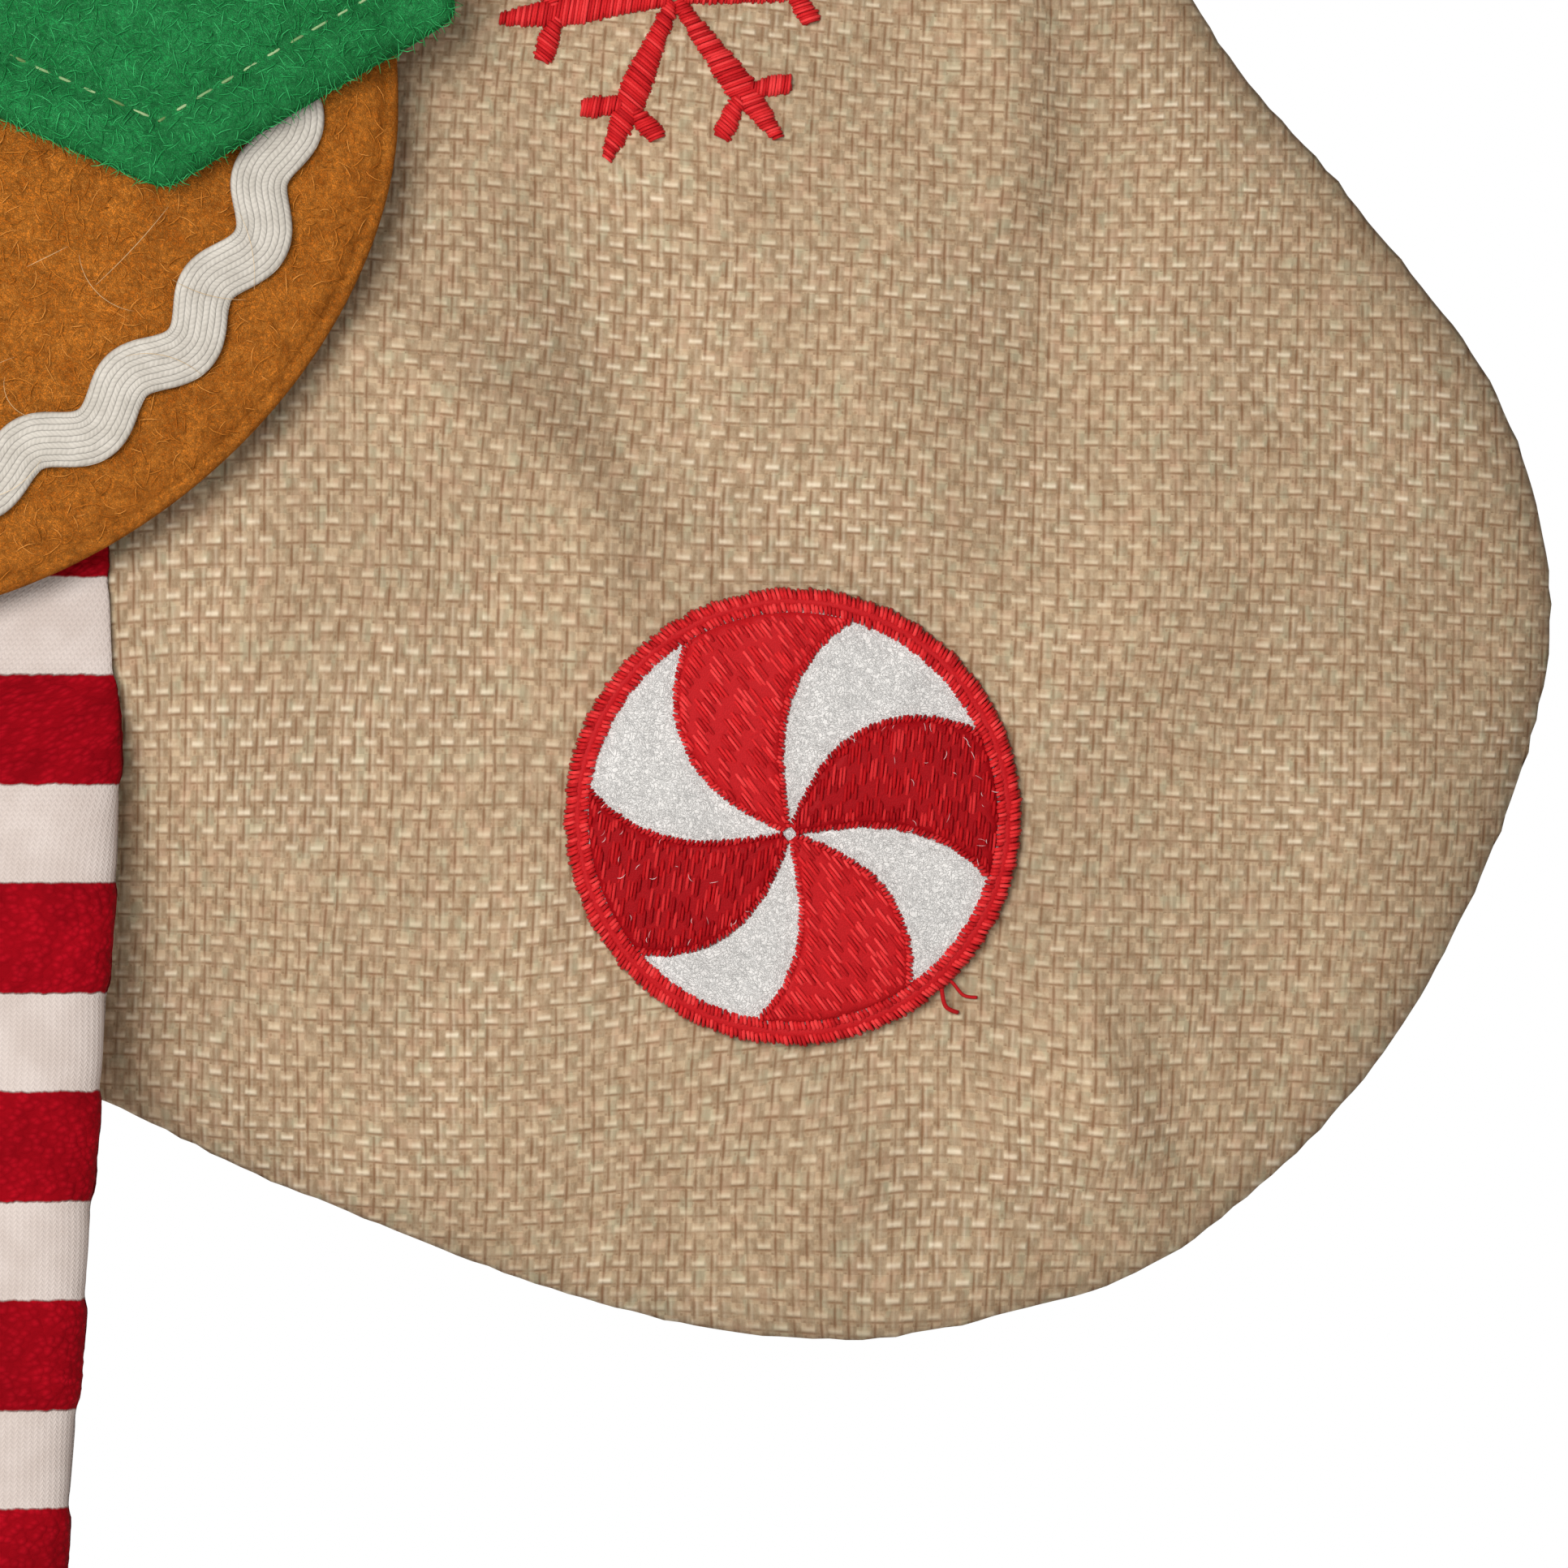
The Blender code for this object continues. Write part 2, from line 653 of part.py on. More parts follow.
def buttons_and_bow():
    for name, z in (("button_lower", 8.0), ("button_upper", 25.0)):
        spot = (FIGURE_X, FIGURE_ZERO_Z + z)
        flat, faces, share = star_net(circle(spot, 4.4, 14), np.array(spot), (1.0, 0.6))
        top = float(vest_front_off([spot])[0]) + 0.5
        near = figure_points(flat, np.full(len(flat), top))
        far = figure_points(flat, top + 1.2 + 1.0 * dome(share))
        make(name, *between(near, far, faces), "red_felt", SWING_AXIS)
    bow_z = FIGURE_ZERO_Z + 52.5
    wing = [(0.0, 3.0), (7.0, 6.0), (18.0, 9.5), (22.0, 6.0), (22.5, 0.0)]
    right = wing + [(x, -z) for x, z in reversed(wing[:-1])]
    outline = right + [(-x, z) for x, z in reversed(right[1:-1])]
    flat, faces = flat_net(np.array([(FIGURE_X + x, bow_z + z) for x, z in outline]))
    near, far = figure_points(flat, BOW_OFF), figure_points(flat, BOW_OFF + BOW_THICK)
    make("bow_tie", *between(near, far, faces), "red_felt", SWING_AXIS)
    knot = superellipse(5.0, 6.5, 3.0, np.arange(14) / 14 * 2 * math.pi) + np.array([FIGURE_X, bow_z])
    flat, faces, share = star_net(knot, np.array([FIGURE_X, bow_z]), (1.0, 0.6))
    near = figure_points(flat, BOW_OFF + BOW_THICK + 0.4)
    far = figure_points(flat, BOW_OFF + BOW_THICK + 1.6 + 1.6 * dome(share))
    make("bow_knot", *between(near, far, faces), "red_felt", SWING_AXIS)


def face():
    """A plain gingerbread face: two bead eyes, felt cheeks and a stitched smile."""
    for side, sign in (("right", 1.0), ("left", -1.0)):
        spot = np.array([FIGURE_X + sign * 19.0, HEAD_Z + 9.0])
        flat, faces, share = star_net(circle(spot, 4.6, 14), spot, (1.0, 0.7, 0.35))
        low = float(head_front_off([spot])[0]) + 0.6
        near = figure_points(flat, np.full(len(flat), low))
        far = figure_points(flat, low + 0.5 + 2.2 * dome(share))
        make(f"eye_{side}", *between(near, far, faces), "black_plastic", SWING_AXIS)
        spot = np.array([FIGURE_X + sign * 32.0, HEAD_Z - 11.0])
        net = flat_net(circle(spot, 7.0, 14), [spot])
        trim(f"cheek_{side}", net, head_front_off, 0.5, FELT_THIN, "pink_felt", SWING_AXIS)
    turns = np.radians(np.linspace(-142.0, -38.0, 12))
    path = np.array([FIGURE_X, HEAD_Z + 1.0]) + 18.0 * np.column_stack([np.cos(turns), np.sin(turns)])
    net = strip_net(path, 1.0, spacing=3.2)
    trim("mouth", net, head_front_off, 0.5, THREAD_THICK, "black_thread", SWING_AXIS)


def arms():
    """Stuffed felt arms, held out from the shoulders and sewn down to the stocking."""
    lower = [(47.4, 21.0), (57.0, 27.5), (68.0, 34.5), (80.0, 39.0), (88.0, 49.0), (86.0, 61.0)]
    upper = [(76.0, 66.5), (65.0, 62.0), (55.0, 53.0), (42.8, 41.5)]
    for side, sign in (("right", 1.0), ("left", -1.0)):
        outline = np.array([(FIGURE_X + sign * x, FIGURE_ZERO_Z + z) for x, z in lower + upper])
        outline = np.vstack([smooth_curve(outline, 2), outline[:1] * 0.5 + outline[-1:] * 0.5])
        centre = np.array([FIGURE_X + sign * 64.0, FIGURE_ZERO_Z + 45.5])
        flat, faces, share = star_net(outline, centre, (1.0, 0.85, 0.5))
        rear, front = 0.6 + 2.4 * share**2, 4.6 + 5.0 * dome(share)
        solid = between(figure_points(flat, rear), figure_points(flat, front), faces)
        make(f"arm_{side}", *solid, "brown_felt", SWING_AXIS)

        def arm_off(spots, outline=outline, centre=centre):
            return 4.6 + 5.0 * dome(radial_share(spots, outline, centre))

        ends = np.array([(71.0, 38.5), (60.5, 55.5)])
        path = np.array([(FIGURE_X + sign * x, FIGURE_ZERO_Z + z) for x, z in ends])
        net = strip_net(path, 2.2, 1.2, 9.0, 2.2)
        trim(f"wrist_rickrack_{side}", net, arm_off, 0.5, 0.8, "rickrack", SWING_AXIS)


def leg_x(z, side_shift):
    """The leg's middle: both legs hang with the same slight lean towards the heel side."""
    return LEG_X_AT_BODY + side_shift + (z - BODY_EDGE_Z) * LEG_LEAN


def straight_solid(name, outline, low_y, high_y, finish, pivot):
    """A flat piece of constant thickness, square to the front."""
    flat, faces = flat_net(outline)
    near, far = (np.column_stack([flat[:, 0], np.full(len(flat), y), flat[:, 1]]) for y in (low_y, high_y))
    make(name, *between(near, far, faces), finish, pivot)


def leg_tube(name, side_shift, pivot):
    """The stuffed knit tube, from flat stations: height, width, thickness and middle in Y."""
    stations = [
        (LEG_TOP_Z, 19.0, 1.6, HINGE_Y),
        (-452.5, 21.5, 4.2, -16.5),
        (-461.0, 22.8, 7.6, -18.0),
        (-480.0, 22.6, 8.0, LEG_MID_Y),
        (-515.0, 21.8, 8.0, LEG_MID_Y),
        (-545.0, 21.0, 7.8, LEG_MID_Y),
        (-552.0, 20.0, 6.0, LEG_MID_Y),
        (LEG_BOTTOM_Z, 18.0, 2.6, LEG_MID_Y),
    ]
    count = 12
    turns = np.arange(count) / count * 2 * math.pi
    points, faces = [], []
    for z, width, thick, middle in stations:
        ring = superellipse(width / 2, thick / 2, 2.6, turns)
        points += [(leg_x(z, side_shift) + x, middle + y, z) for x, y in ring]
    for ring in range(len(stations) - 1):
        for i in range(count):
            j = (i + 1) % count
            a, b = ring * count, (ring + 1) * count
            faces += [(a + i, a + j, b + j), (a + i, b + j, b + i)]
    faces.append(tuple(range(count)))
    faces.append(tuple(range(len(points) - 1, len(points) - 1 - count, -1)))
    make(name, points, faces, "striped_knit", pivot)


def foot_outline(side_sign, middle):
    """A round felt foot that points away from the other one."""
    half = [(-9.0, 0.0), (9.0, 0.0), (21.0, -4.5), (27.0, -14.5), (21.5, -26.0), (6.0, -30.6)]
    half += [(-7.5, -27.0), (-11.5, -15.0)]
    points = np.array([(middle + side_sign * x, FOOT_TOP_Z + z) for x, z in half])
    return smooth_curve(points, 2, closed=True)


def legs_and_feet():
    for side, sign in (("right", 1.0), ("left", -1.0)):
        shift = 0.0 if sign > 0 else -LEG_SPACING
        hip = (leg_x(HIP_SWAY_Z, shift), HINGE_Y, HIP_SWAY_Z)
        top, bottom = leg_x(HIP_TOP_Z, shift), leg_x(HIP_BOTTOM_Z, shift)
        tab = [(top - 8.0, HIP_TOP_Z), (top + 8.0, HIP_TOP_Z), (bottom + 9.5, HIP_BOTTOM_Z)]
        tab.append((bottom - 9.5, HIP_BOTTOM_Z))
        straight_solid(f"hip_tab_{side}", tab, HINGE_Y - 1.0, HINGE_Y + 0.9, "striped_knit", hip)
        knee = (leg_x(LEG_HINGE_Z, shift), HINGE_Y, LEG_HINGE_Z)
        leg_tube(f"leg_{side}", shift, knee)
        middle = leg_x(ANKLE_Z, shift)
        ankle = (middle, LEG_MID_Y, ANKLE_Z)
        outline = foot_outline(sign, middle)
        centre = np.array([middle + sign * 6.0, FOOT_TOP_Z - 15.0])
        flat, faces, share = star_net(outline, centre, (1.0, 0.85, 0.5))

        def foot_points(spots, off):
            spots = np.asarray(spots, float)
            return np.column_stack([spots[:, 0], LEG_MID_Y - off, spots[:, 1]])

        half_thick = 1.3 + 5.6 * dome(share)
        solid = between(foot_points(flat, -half_thick), foot_points(flat, half_thick), faces)
        make(f"foot_{side}", *solid, "brown_felt", ankle)

        def foot_off(spots, outline=outline, centre=centre):
            return 1.3 + 5.6 * dome(radial_share(spots, outline, centre))

        ends = np.array([(-7.0, -9.0), (19.5, -10.5)])
        path = np.array([(middle + sign * x, FOOT_TOP_Z + z) for x, z in ends])
        net = strip_net(path, 2.2, 1.2, 9.0, 2.2)
        trim(f"ankle_rickrack_{side}", net, foot_off, 0.5, 0.8, "rickrack", ankle, foot_points)


def build():
    clear_scene()
    hanging_loop()
    shell_and_lining()
    cuffs()
    snowflakes()
    peppermint()
    gingerbread_pads()
    icing_trims()
    vest()
    buttons_and_bow()
    face()
    arms()
    legs_and_feet()


build()
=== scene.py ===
"""Looks of the hanging burlap stocking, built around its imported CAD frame."""

import json
import math

import bmesh
import bpy
import numpy as np
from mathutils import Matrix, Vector
from mathutils.geometry import delaunay_2d_cdt


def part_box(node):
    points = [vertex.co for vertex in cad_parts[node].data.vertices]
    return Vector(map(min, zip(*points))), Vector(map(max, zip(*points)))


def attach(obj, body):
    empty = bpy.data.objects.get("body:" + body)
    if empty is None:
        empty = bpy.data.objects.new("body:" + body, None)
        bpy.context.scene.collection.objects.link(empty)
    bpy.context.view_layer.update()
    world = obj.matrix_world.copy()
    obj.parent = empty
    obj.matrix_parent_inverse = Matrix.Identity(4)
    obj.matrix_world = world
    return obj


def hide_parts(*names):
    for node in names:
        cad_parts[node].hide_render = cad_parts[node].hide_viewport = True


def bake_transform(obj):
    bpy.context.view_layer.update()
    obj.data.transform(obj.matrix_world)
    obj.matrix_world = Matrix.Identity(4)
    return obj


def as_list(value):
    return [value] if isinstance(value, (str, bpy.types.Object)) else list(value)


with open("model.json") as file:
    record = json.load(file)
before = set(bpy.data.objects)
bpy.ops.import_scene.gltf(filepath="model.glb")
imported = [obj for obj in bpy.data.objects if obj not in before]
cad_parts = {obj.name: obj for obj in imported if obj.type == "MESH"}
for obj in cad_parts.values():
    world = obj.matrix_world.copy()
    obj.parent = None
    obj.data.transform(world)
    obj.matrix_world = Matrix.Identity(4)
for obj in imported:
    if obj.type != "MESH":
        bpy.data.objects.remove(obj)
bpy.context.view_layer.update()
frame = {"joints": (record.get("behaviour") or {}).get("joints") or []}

# Lengths below are millimetres in the frame's own axes; pieces turn into metres when they are made.
MM = 0.001


def mm_box(node):
    """Lowest and highest corner of a CAD node, in millimetres."""
    low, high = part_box(node)
    return np.array(low) / MM, np.array(high) / MM


SHELL_LOW, SHELL_HIGH = mm_box("shell_front")
CUFF_LOW, CUFF_HIGH = mm_box("cuff_front")
BODY_LOW, BODY_HIGH = mm_box("body_front")
HEAD_LOW, HEAD_HIGH = mm_box("head_front")
MINT_LOW, MINT_HIGH = mm_box("peppermint_border")
JOINTS = {joint["name"]: np.array(joint["pos_m"]) / MM for joint in frame["joints"]}

SEAM_HALF_GAP = 0.4
PUFF_FRONT = -SHELL_LOW[1] - SEAM_HALF_GAP
PUFF_BACK = mm_box("shell_back")[1][1] - SEAM_HALF_GAP
PUFF_REACH = 55.0
SEAM_CLOSES = 3.0
SHELL_TOP = SHELL_HIGH[2]
LEG_LEFT, LEG_RIGHT = -3.0, 199.0
FIGURE_X = (BODY_LOW[0] + BODY_HIGH[0]) / 2
BODY_DROP = 47.5
BODY_WIDEST_Z = BODY_LOW[2] + BODY_DROP
BODY_HALF_WIDTH = (BODY_HIGH[0] - BODY_LOW[0]) / 2
BODY_POWER = 1.8
HEAD_Z = (HEAD_LOW[2] + HEAD_HIGH[2]) / 2
HEAD_HALF = ((HEAD_HIGH[0] - HEAD_LOW[0]) / 2, 54.0)
HEAD_POWER = 2.1
PAD_FOOT = 8.2
BODY_CROWN, HEAD_CROWN, ARM_CROWN, FOOT_CROWN = 7.3, 8.8, 5.0, 5.6
MINT = (MINT_LOW + MINT_HIGH)[[0, 2]] / 2
MINT_RADIUS = 21.4
VEST_BASE_Z = BODY_WIDEST_Z + 11.5
LEG_SPACING = 26.4
LEG_LEAN = 5.4 / 88.0
LEG_SHIFT = 0.9
CUFF_OUT = 0.8
COARSE = 1.0


# ================================================================ numbers and curves


def unit(vectors):
    return vectors / np.linalg.norm(vectors, axis=-1, keepdims=True)


def square_to(along):
    """Flat vectors turned a quarter to the left."""
    return np.stack([-along[..., 1], along[..., 0]], -1)


def heading(angle):
    """Unit vectors at angles from +X."""
    return np.stack([np.cos(angle), np.sin(angle)], -1)


def full_turn(count):
    return np.linspace(0, 2 * math.pi, count, endpoint=False)


def circle(centre, radius, count):
    return np.asarray(centre) + radius * heading(full_turn(count))


def smooth_curve(points, steps, closed=False):
    """A Catmull-Rom curve through the points, with a number of steps for each span."""
    pts = np.asarray(points, float)
    count = len(pts)
    t = (np.arange(steps) / steps)[:, None]
    out = []
    for i in range(count if closed else count - 1):
        near = np.arange(i - 1, i + 3)
        a, b, c, d = pts[near % count if closed else np.clip(near, 0, count - 1)]
        bend = (2 * a - 5 * b + 4 * c - d) * t**2 + (3 * b - a - 3 * c + d) * t**3
        out.append(0.5 * (2 * b + (c - a) * t + bend))
    return np.vstack(out if closed else [*out, pts[-1:]])


def run_length(line):
    return np.concatenate([[0.0], np.cumsum(np.linalg.norm(np.diff(line, axis=0), axis=1))])


def at_runs(line, run, at):
    """A line's columns at distances along it."""
    return np.column_stack([np.interp(at, run, column) for column in line.T])


def even_line(line, spacing):
    """The line with points at an even spacing."""
    line = np.asarray(line, float)
    run = run_length(line)
    return at_runs(line, run, np.linspace(0, run[-1], max(2, round(run[-1] / spacing) + 1)))


def closed(line):
    return np.vstack([line, line[:1]])


def even_rim(outline, count):
    """A closed outline as a number of evenly spaced points."""
    line = closed(outline)
    return even_line(line, run_length(line)[-1] / count)[:-1]


def superellipse(half_width, half_height, power, angles):
    cosine, sine = np.cos(angles), np.sin(angles)
    x = half_width * np.sign(cosine) * np.abs(cosine) ** (2 / power)
    z = half_height * np.sign(sine) * np.abs(sine) ** (2 / power)
    return np.column_stack([x, z])


def value_noise(x, z, size, seed):
    """Smooth noise from -1 to 1, with features about size millimetres across."""
    lattice = np.random.default_rng(seed).uniform(-1, 1, (128, 128))
    u, v = np.asarray(x) / size + 51.3, np.asarray(z) / size + 87.7
    i, j = np.floor(u).astype(int), np.floor(v).astype(int)
    a, b = u - i, v - j
    a, b = a * a * (3 - 2 * a), b * b * (3 - 2 * b)
    corner = [lattice[(i + p) % 128, (j + q) % 128] for p in (0, 1) for q in (0, 1)]
    low = corner[0] * (1 - b) + corner[1] * b
    high = corner[2] * (1 - b) + corner[3] * b
    return low * (1 - a) + high * a


def line_distance(flat, line):
    """Distance from each point to a line, the vector from the line to it, and the nearest segment."""
    flat, line = np.asarray(flat, float), np.asarray(line, float)
    start, along = line[:-1], np.diff(line, axis=0)
    length2 = (along**2).sum(1)
    gaps, picks, batch = [], [], 6000
    for first in range(0, len(flat), batch):
        spots = flat[first : first + batch, None]
        share = np.clip(((spots - start) * along).sum(2) / length2, 0, 1)
        gap = spots - (start + share[..., None] * along)
        pick = (gap**2).sum(2).argmin(1)
        gaps.append(gap[np.arange(len(pick)), pick])
        picks.append(pick)
    towards = np.vstack(gaps)
    return np.sqrt((towards**2).sum(1)), towards, np.concatenate(picks)


def inside_outline(flat, outline):
    """Which points are in a closed outline."""
    x, z = np.asarray(flat, float).T
    odd = np.zeros(len(x), bool)
    for (ax, az), (bx, bz) in zip(outline, np.roll(outline, -1, axis=0)):
        if az != bz:
            spans = (az > z) != (bz > z)
            odd ^= spans & (x < ax + (z - az) * (bx - ax) / (bz - az))
    return odd


def inward(outline):
    """Unit vectors square to a closed outline, towards its inside."""
    square = square_to(unit(np.roll(outline, -1, axis=0) - np.roll(outline, 1, axis=0)))
    inside = inside_outline(outline + square * 0.05, outline).mean() > 0.5
    return square if inside else -square


def outline_area(outline):
    """Area inside a closed outline, in square metres."""
    step = np.roll(outline, -1, axis=0)
    return abs((outline[:, 0] * step[:, 1] - outline[:, 1] * step[:, 0]).sum()) / 2 * MM * MM


def round_edge(depth, reach):
    """How far a rounded edge has risen, from 0 on the outline to 1 at reach inside it."""
    return np.sqrt(1 - (1 - np.clip(depth / reach, 0, 1)) ** 2)


def on_side(side, points, middle=(FIGURE_X, VEST_BASE_Z)):
    """Points given from a middle, as they are for a side of 1 and mirrored for -1."""
    return np.array(middle) + np.array(points) * (side, 1.0)


# ================================================================ the stocking's own surface


def seam_points():
    """Points along the side seam: down the toe side, round the foot and up the heel side."""
    right = [(LEG_RIGHT, z) for z in (SHELL_TOP, -110.0, -168.0, -226.0)]
    instep = [(199.5, -284.0), (205.0, -334.0), (222.5, -381.0), (239.0, -402.5), (252.6, -420.9)]
    toe = [(257.8, -441.0), (253.1, -462.5), (240.8, -485.5), (222.0, -503.0), (205.0, -509.2)]
    sole = [(188.0, -511.6), (165.4, -507.8), (137.7, -497.4), (115.0, -487.5), (86.0, -481.0)]
    heel = [(55.0, -484.5), (30.0, -485.5), (6.0, -474.0), (-7.0, -446.0), (-6.0, -409.0)]
    left = [(LEG_LEFT, z) for z in (-344.0, -284.0, -226.0, -168.0, -110.0, SHELL_TOP)]
    return right + instep + toe + sole + heel + left


SEAM = smooth_curve(seam_points(), 12)
ABOVE = np.array([[0.0, 200.0]])
LONG_SEAM = np.vstack([SEAM[:1] + ABOVE, SEAM, SEAM[-1:] + ABOVE])


def seam_distance(flat):
    """Distance to the seam, and the unit vector that points from the seam to the inside."""
    distance, towards, pick = line_distance(flat, LONG_SEAM)
    inside = -square_to(unit(np.diff(LONG_SEAM, axis=0)))[pick]
    clear = distance > 0.4
    inside[clear] = towards[clear] / distance[clear, None]
    return distance, inside


# What lies close on the stocking's front, as a middle and half sizes: the cloth stays calm under it.
COVERED = (
    (FIGURE_X, BODY_WIDEST_Z + 8.0, 50.0, 57.0),
    (FIGURE_X, HEAD_Z, 52.0, 54.0),
    (FIGURE_X + 64.0, VEST_BASE_Z + 45.5, 25.0, 20.0),
    (FIGURE_X - 64.0, VEST_BASE_Z + 45.5, 25.0, 20.0),
    (JOINTS["leg_swing_right"][0] - 0.5 * LEG_SPACING, -475.0, 34.0, 44.0),
)
# Folds and hollows beside the figure: a middle, the way it runs, half length, half width and height.
FOLDS = (
    (156.2, -425.5, 140.0, 16.0, 6.5, 4.0),
    (166.1, -434.0, 112.0, 10.0, 4.2, 2.0),
    (166.0, -411.5, 108.0, 14.0, 5.0, -3.0),
    (209.5, -418.0, 84.0, 20.0, 8.0, -3.0),
    (206.0, -391.0, 92.0, 16.0, 4.2, 2.6),
    (215.2, -490.0, 110.0, 13.0, 4.6, 3.6),
    (187.0, -494.0, 96.0, 10.0, 7.0, 2.4),
    (222.0, -440.0, 76.0, 22.0, 9.0, 1.2),
    (132.0, -462.0, 125.0, 14.0, 6.0, 1.8),
    (28.0, -440.0, 60.0, 16.0, 6.0, -3.2),
    (60.0, -462.0, 20.0, 18.0, 7.0, 2.5),
    (180.0, -300.0, 84.0, 22.0, 6.0, -2.9),
    (176.0, -170.0, 100.0, 24.0, 7.0, 2.5),
    (20.0, -190.0, 86.0, 26.0, 7.0, -2.7),
)


def softness(flat, distance):
    """Slow waves and folds in the cloth, which die out at the seam and under the pieces on it."""
    x, z = flat.T
    wave = 1.10 * value_noise(x, z, 30.0, 3) + 0.75 * value_noise(x, z * 0.7, 13.0, 5)
    wave += 0.20 * value_noise(x, z, 6.5, 8)
    for at_x, at_z, turn, half_length, half_width, height in FOLDS:
        along = heading(math.radians(turn))
        run = (x - at_x) * along[0] + (z - at_z) * along[1]
        across = (z - at_z) * along[0] - (x - at_x) * along[1]
        wave += height * np.exp(-((run / half_length) ** 2) - (across / half_width) ** 2)
    wave *= np.clip(distance / 14.0, 0, 1) * np.clip((CUFF_LOW[2] - z) / 12.0, 0.25, 1)
    hold = np.ones(len(flat))
    for at_x, at_z, half_x, half_z in COVERED:
        share = np.hypot((x - at_x) / half_x, (z - at_z) / half_z)
        hold *= np.clip((share - 0.55) / 0.4, 0.15, 1)
    wave = wave * hold - 0.35 * (1 - hold)
    from_mint = np.hypot(x - MINT[0], z - MINT[1])
    wave *= np.clip((from_mint - MINT_RADIUS + 4.0) / 12.0, 0.25, 1)
    turn = np.arctan2(z - MINT[1], x - MINT[0])
    pucker = 0.22 * np.sin(turn * 17 + 2 * np.sin(turn * 3)) * np.exp(-(((from_mint - 24.5) / 3.5) ** 2))
    return wave + pucker


def panel_points(flat, off, front=True, waves=True):
    """Points off the stocking's outer face, measured square to it: + is away from the stocking."""
    flat = np.asarray(flat, float)
    distance, inside = seam_distance(flat)
    puff = PUFF_FRONT if front else PUFF_BACK
    sine = round_edge(distance, PUFF_REACH)
    across, out = puff * (1 - np.clip(distance / PUFF_REACH, 0, 1)), PUFF_REACH * sine
    size = np.sqrt(across**2 + out**2)
    off = off + (softness(flat, distance) if waves else 0.0)
    gap = SEAM_HALF_GAP * np.clip(distance / SEAM_CLOSES, 0.05, 1)
    height = gap + puff * sine + off * out / size
    x, z = (flat - inside * (off * across / size)[:, None]).T
    return np.column_stack([x, -height if front else height, z])


def figure_points(flat, off):
    """Points straight in front of the stocking's face without its waves, which stuffed pieces bridge."""
    x, z = np.asarray(flat, float).T
    height = SEAM_HALF_GAP + PUFF_FRONT * round_edge(seam_distance(flat)[0], PUFF_REACH)
    return np.column_stack([x, -(height + off), z])


# ================================================================ making objects


def add_object(name, data):
    made = bpy.data.objects.new(name, data)
    bpy.context.scene.collection.objects.link(made)
    return made


def add_mesh(name, points, faces, finish, slot, nodes=(), body="stocking", **attributes):
    """A piece from millimetre points; each attribute holds a value or a vector for every point."""
    mesh = bpy.data.meshes.new(name)
    points = np.asarray(points, float)
    mesh.from_pydata((points * MM).tolist(), [], [tuple(int(i) for i in f) for f in faces])
    work = bmesh.new()
    work.from_mesh(mesh)
    bmesh.ops.recalc_face_normals(work, faces=work.faces)
    if work.calc_volume(signed=True) < 0:
        bmesh.ops.reverse_faces(work, faces=work.faces)
    work.to_mesh(mesh)
    work.free()
    mesh.shade_smooth()
    for key, values in {**attributes, "place": points}.items():
        values = np.asarray(values, float)
        kind, field = ("FLOAT", "value") if values.ndim == 1 else ("FLOAT_VECTOR", "vector")
        if values.ndim == 2:
            values = np.pad(values, ((0, 0), (0, 3 - values.shape[1])))
        attribute = mesh.attributes.new(key, kind, "POINT")
        attribute.data.foreach_set(field, values.astype(np.float32).ravel())
    mesh.materials.append(finish)
    piece = add_object(name, mesh)
    if body:
        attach(piece, body)
    if nodes:
        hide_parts(*nodes)
    return piece


def shifted(faces, shift, flip=False):
    return [tuple(i + shift for i in (reversed(face) if flip else face)) for face in faces]


def strips(rows, count, around=False):
    """Faces between rows of points; around also joins each row's end to its start."""
    faces = []
    for row in range(rows - 1):
        a, b = row * count, (row + 1) * count
        for i in range(count if around else count - 1):
            j = (i + 1) % count
            faces.append((a + i, a + j, b + j, b + i))
    return faces


def tube(rows, count):
    """Faces of a closed tube made of rings of points."""
    last = (rows - 1) * count
    caps = [tuple(reversed(range(count))), tuple(range(last, last + count))]
    return strips(rows, count, around=True) + caps


def merged(parts):
    """Points and faces of several parts, as one."""
    faces, start = [], 0
    for points, net in parts:
        faces += shifted(net, start)
        start += len(points)
    return np.vstack([points for points, _ in parts]), faces


def flat_net(outline, extra):
    """Triangles that fill a closed outline, with extra points inside it."""
    points = [tuple(p) for p in (*outline, *extra)]
    count = len(outline)
    edges = [(i, (i + 1) % count) for i in range(count)]
    verts, _, faces, *_ = delaunay_2d_cdt(points, edges, [], 1, 1e-5)
    return np.array([tuple(v) for v in verts]), [tuple(f) for f in faces]


def hex_grid(low, high, spacing, seed=1):
    """Points of a slightly uneven triangular grid over a box."""
    rows = np.arange(low[1], high[1], spacing * 0.866)
    x, z = np.meshgrid(np.arange(low[0], high[0], spacing), rows)
    x = x + (np.arange(len(rows)) % 2)[:, None] * spacing / 2
    spots = np.column_stack([x.ravel(), z.ravel()])
    return spots + np.random.default_rng(seed).uniform(-0.1, 0.1, spots.shape) * spacing


def between(near, far, faces):
    """The solid between two layers of points that share one net."""
    count = len(near)
    used = {(f[i], f[(i + 1) % len(f)]) for f in faces for i in range(len(f))}
    rim = [(a, b) for a, b in sorted(used) if (b, a) not in used]
    solid = [*faces, *shifted(faces, count, flip=True)]
    return np.vstack([near, far]), solid + [(b, a, a + count, b + count) for a, b in rim]


def inner_rows(outline, depths):
    """Rows of points inside a closed outline, at the given distances from it."""
    square, rows = inward(outline), []
    for depth in depths:
        spots = outline + square * depth
        clear = line_distance(spots, closed(outline))[0] > depth * 0.93
        rows.append(spots[inside_outline(spots, outline) & clear])
    return np.vstack(rows)


def grid_inside(outline, spacing, clear):
    """Grid points inside a closed outline, more than clear from it."""
    grid = hex_grid(outline.min(0), outline.max(0), spacing)
    grid = grid[inside_outline(grid, outline)]
    return grid[line_distance(grid, closed(outline))[0] > clear]


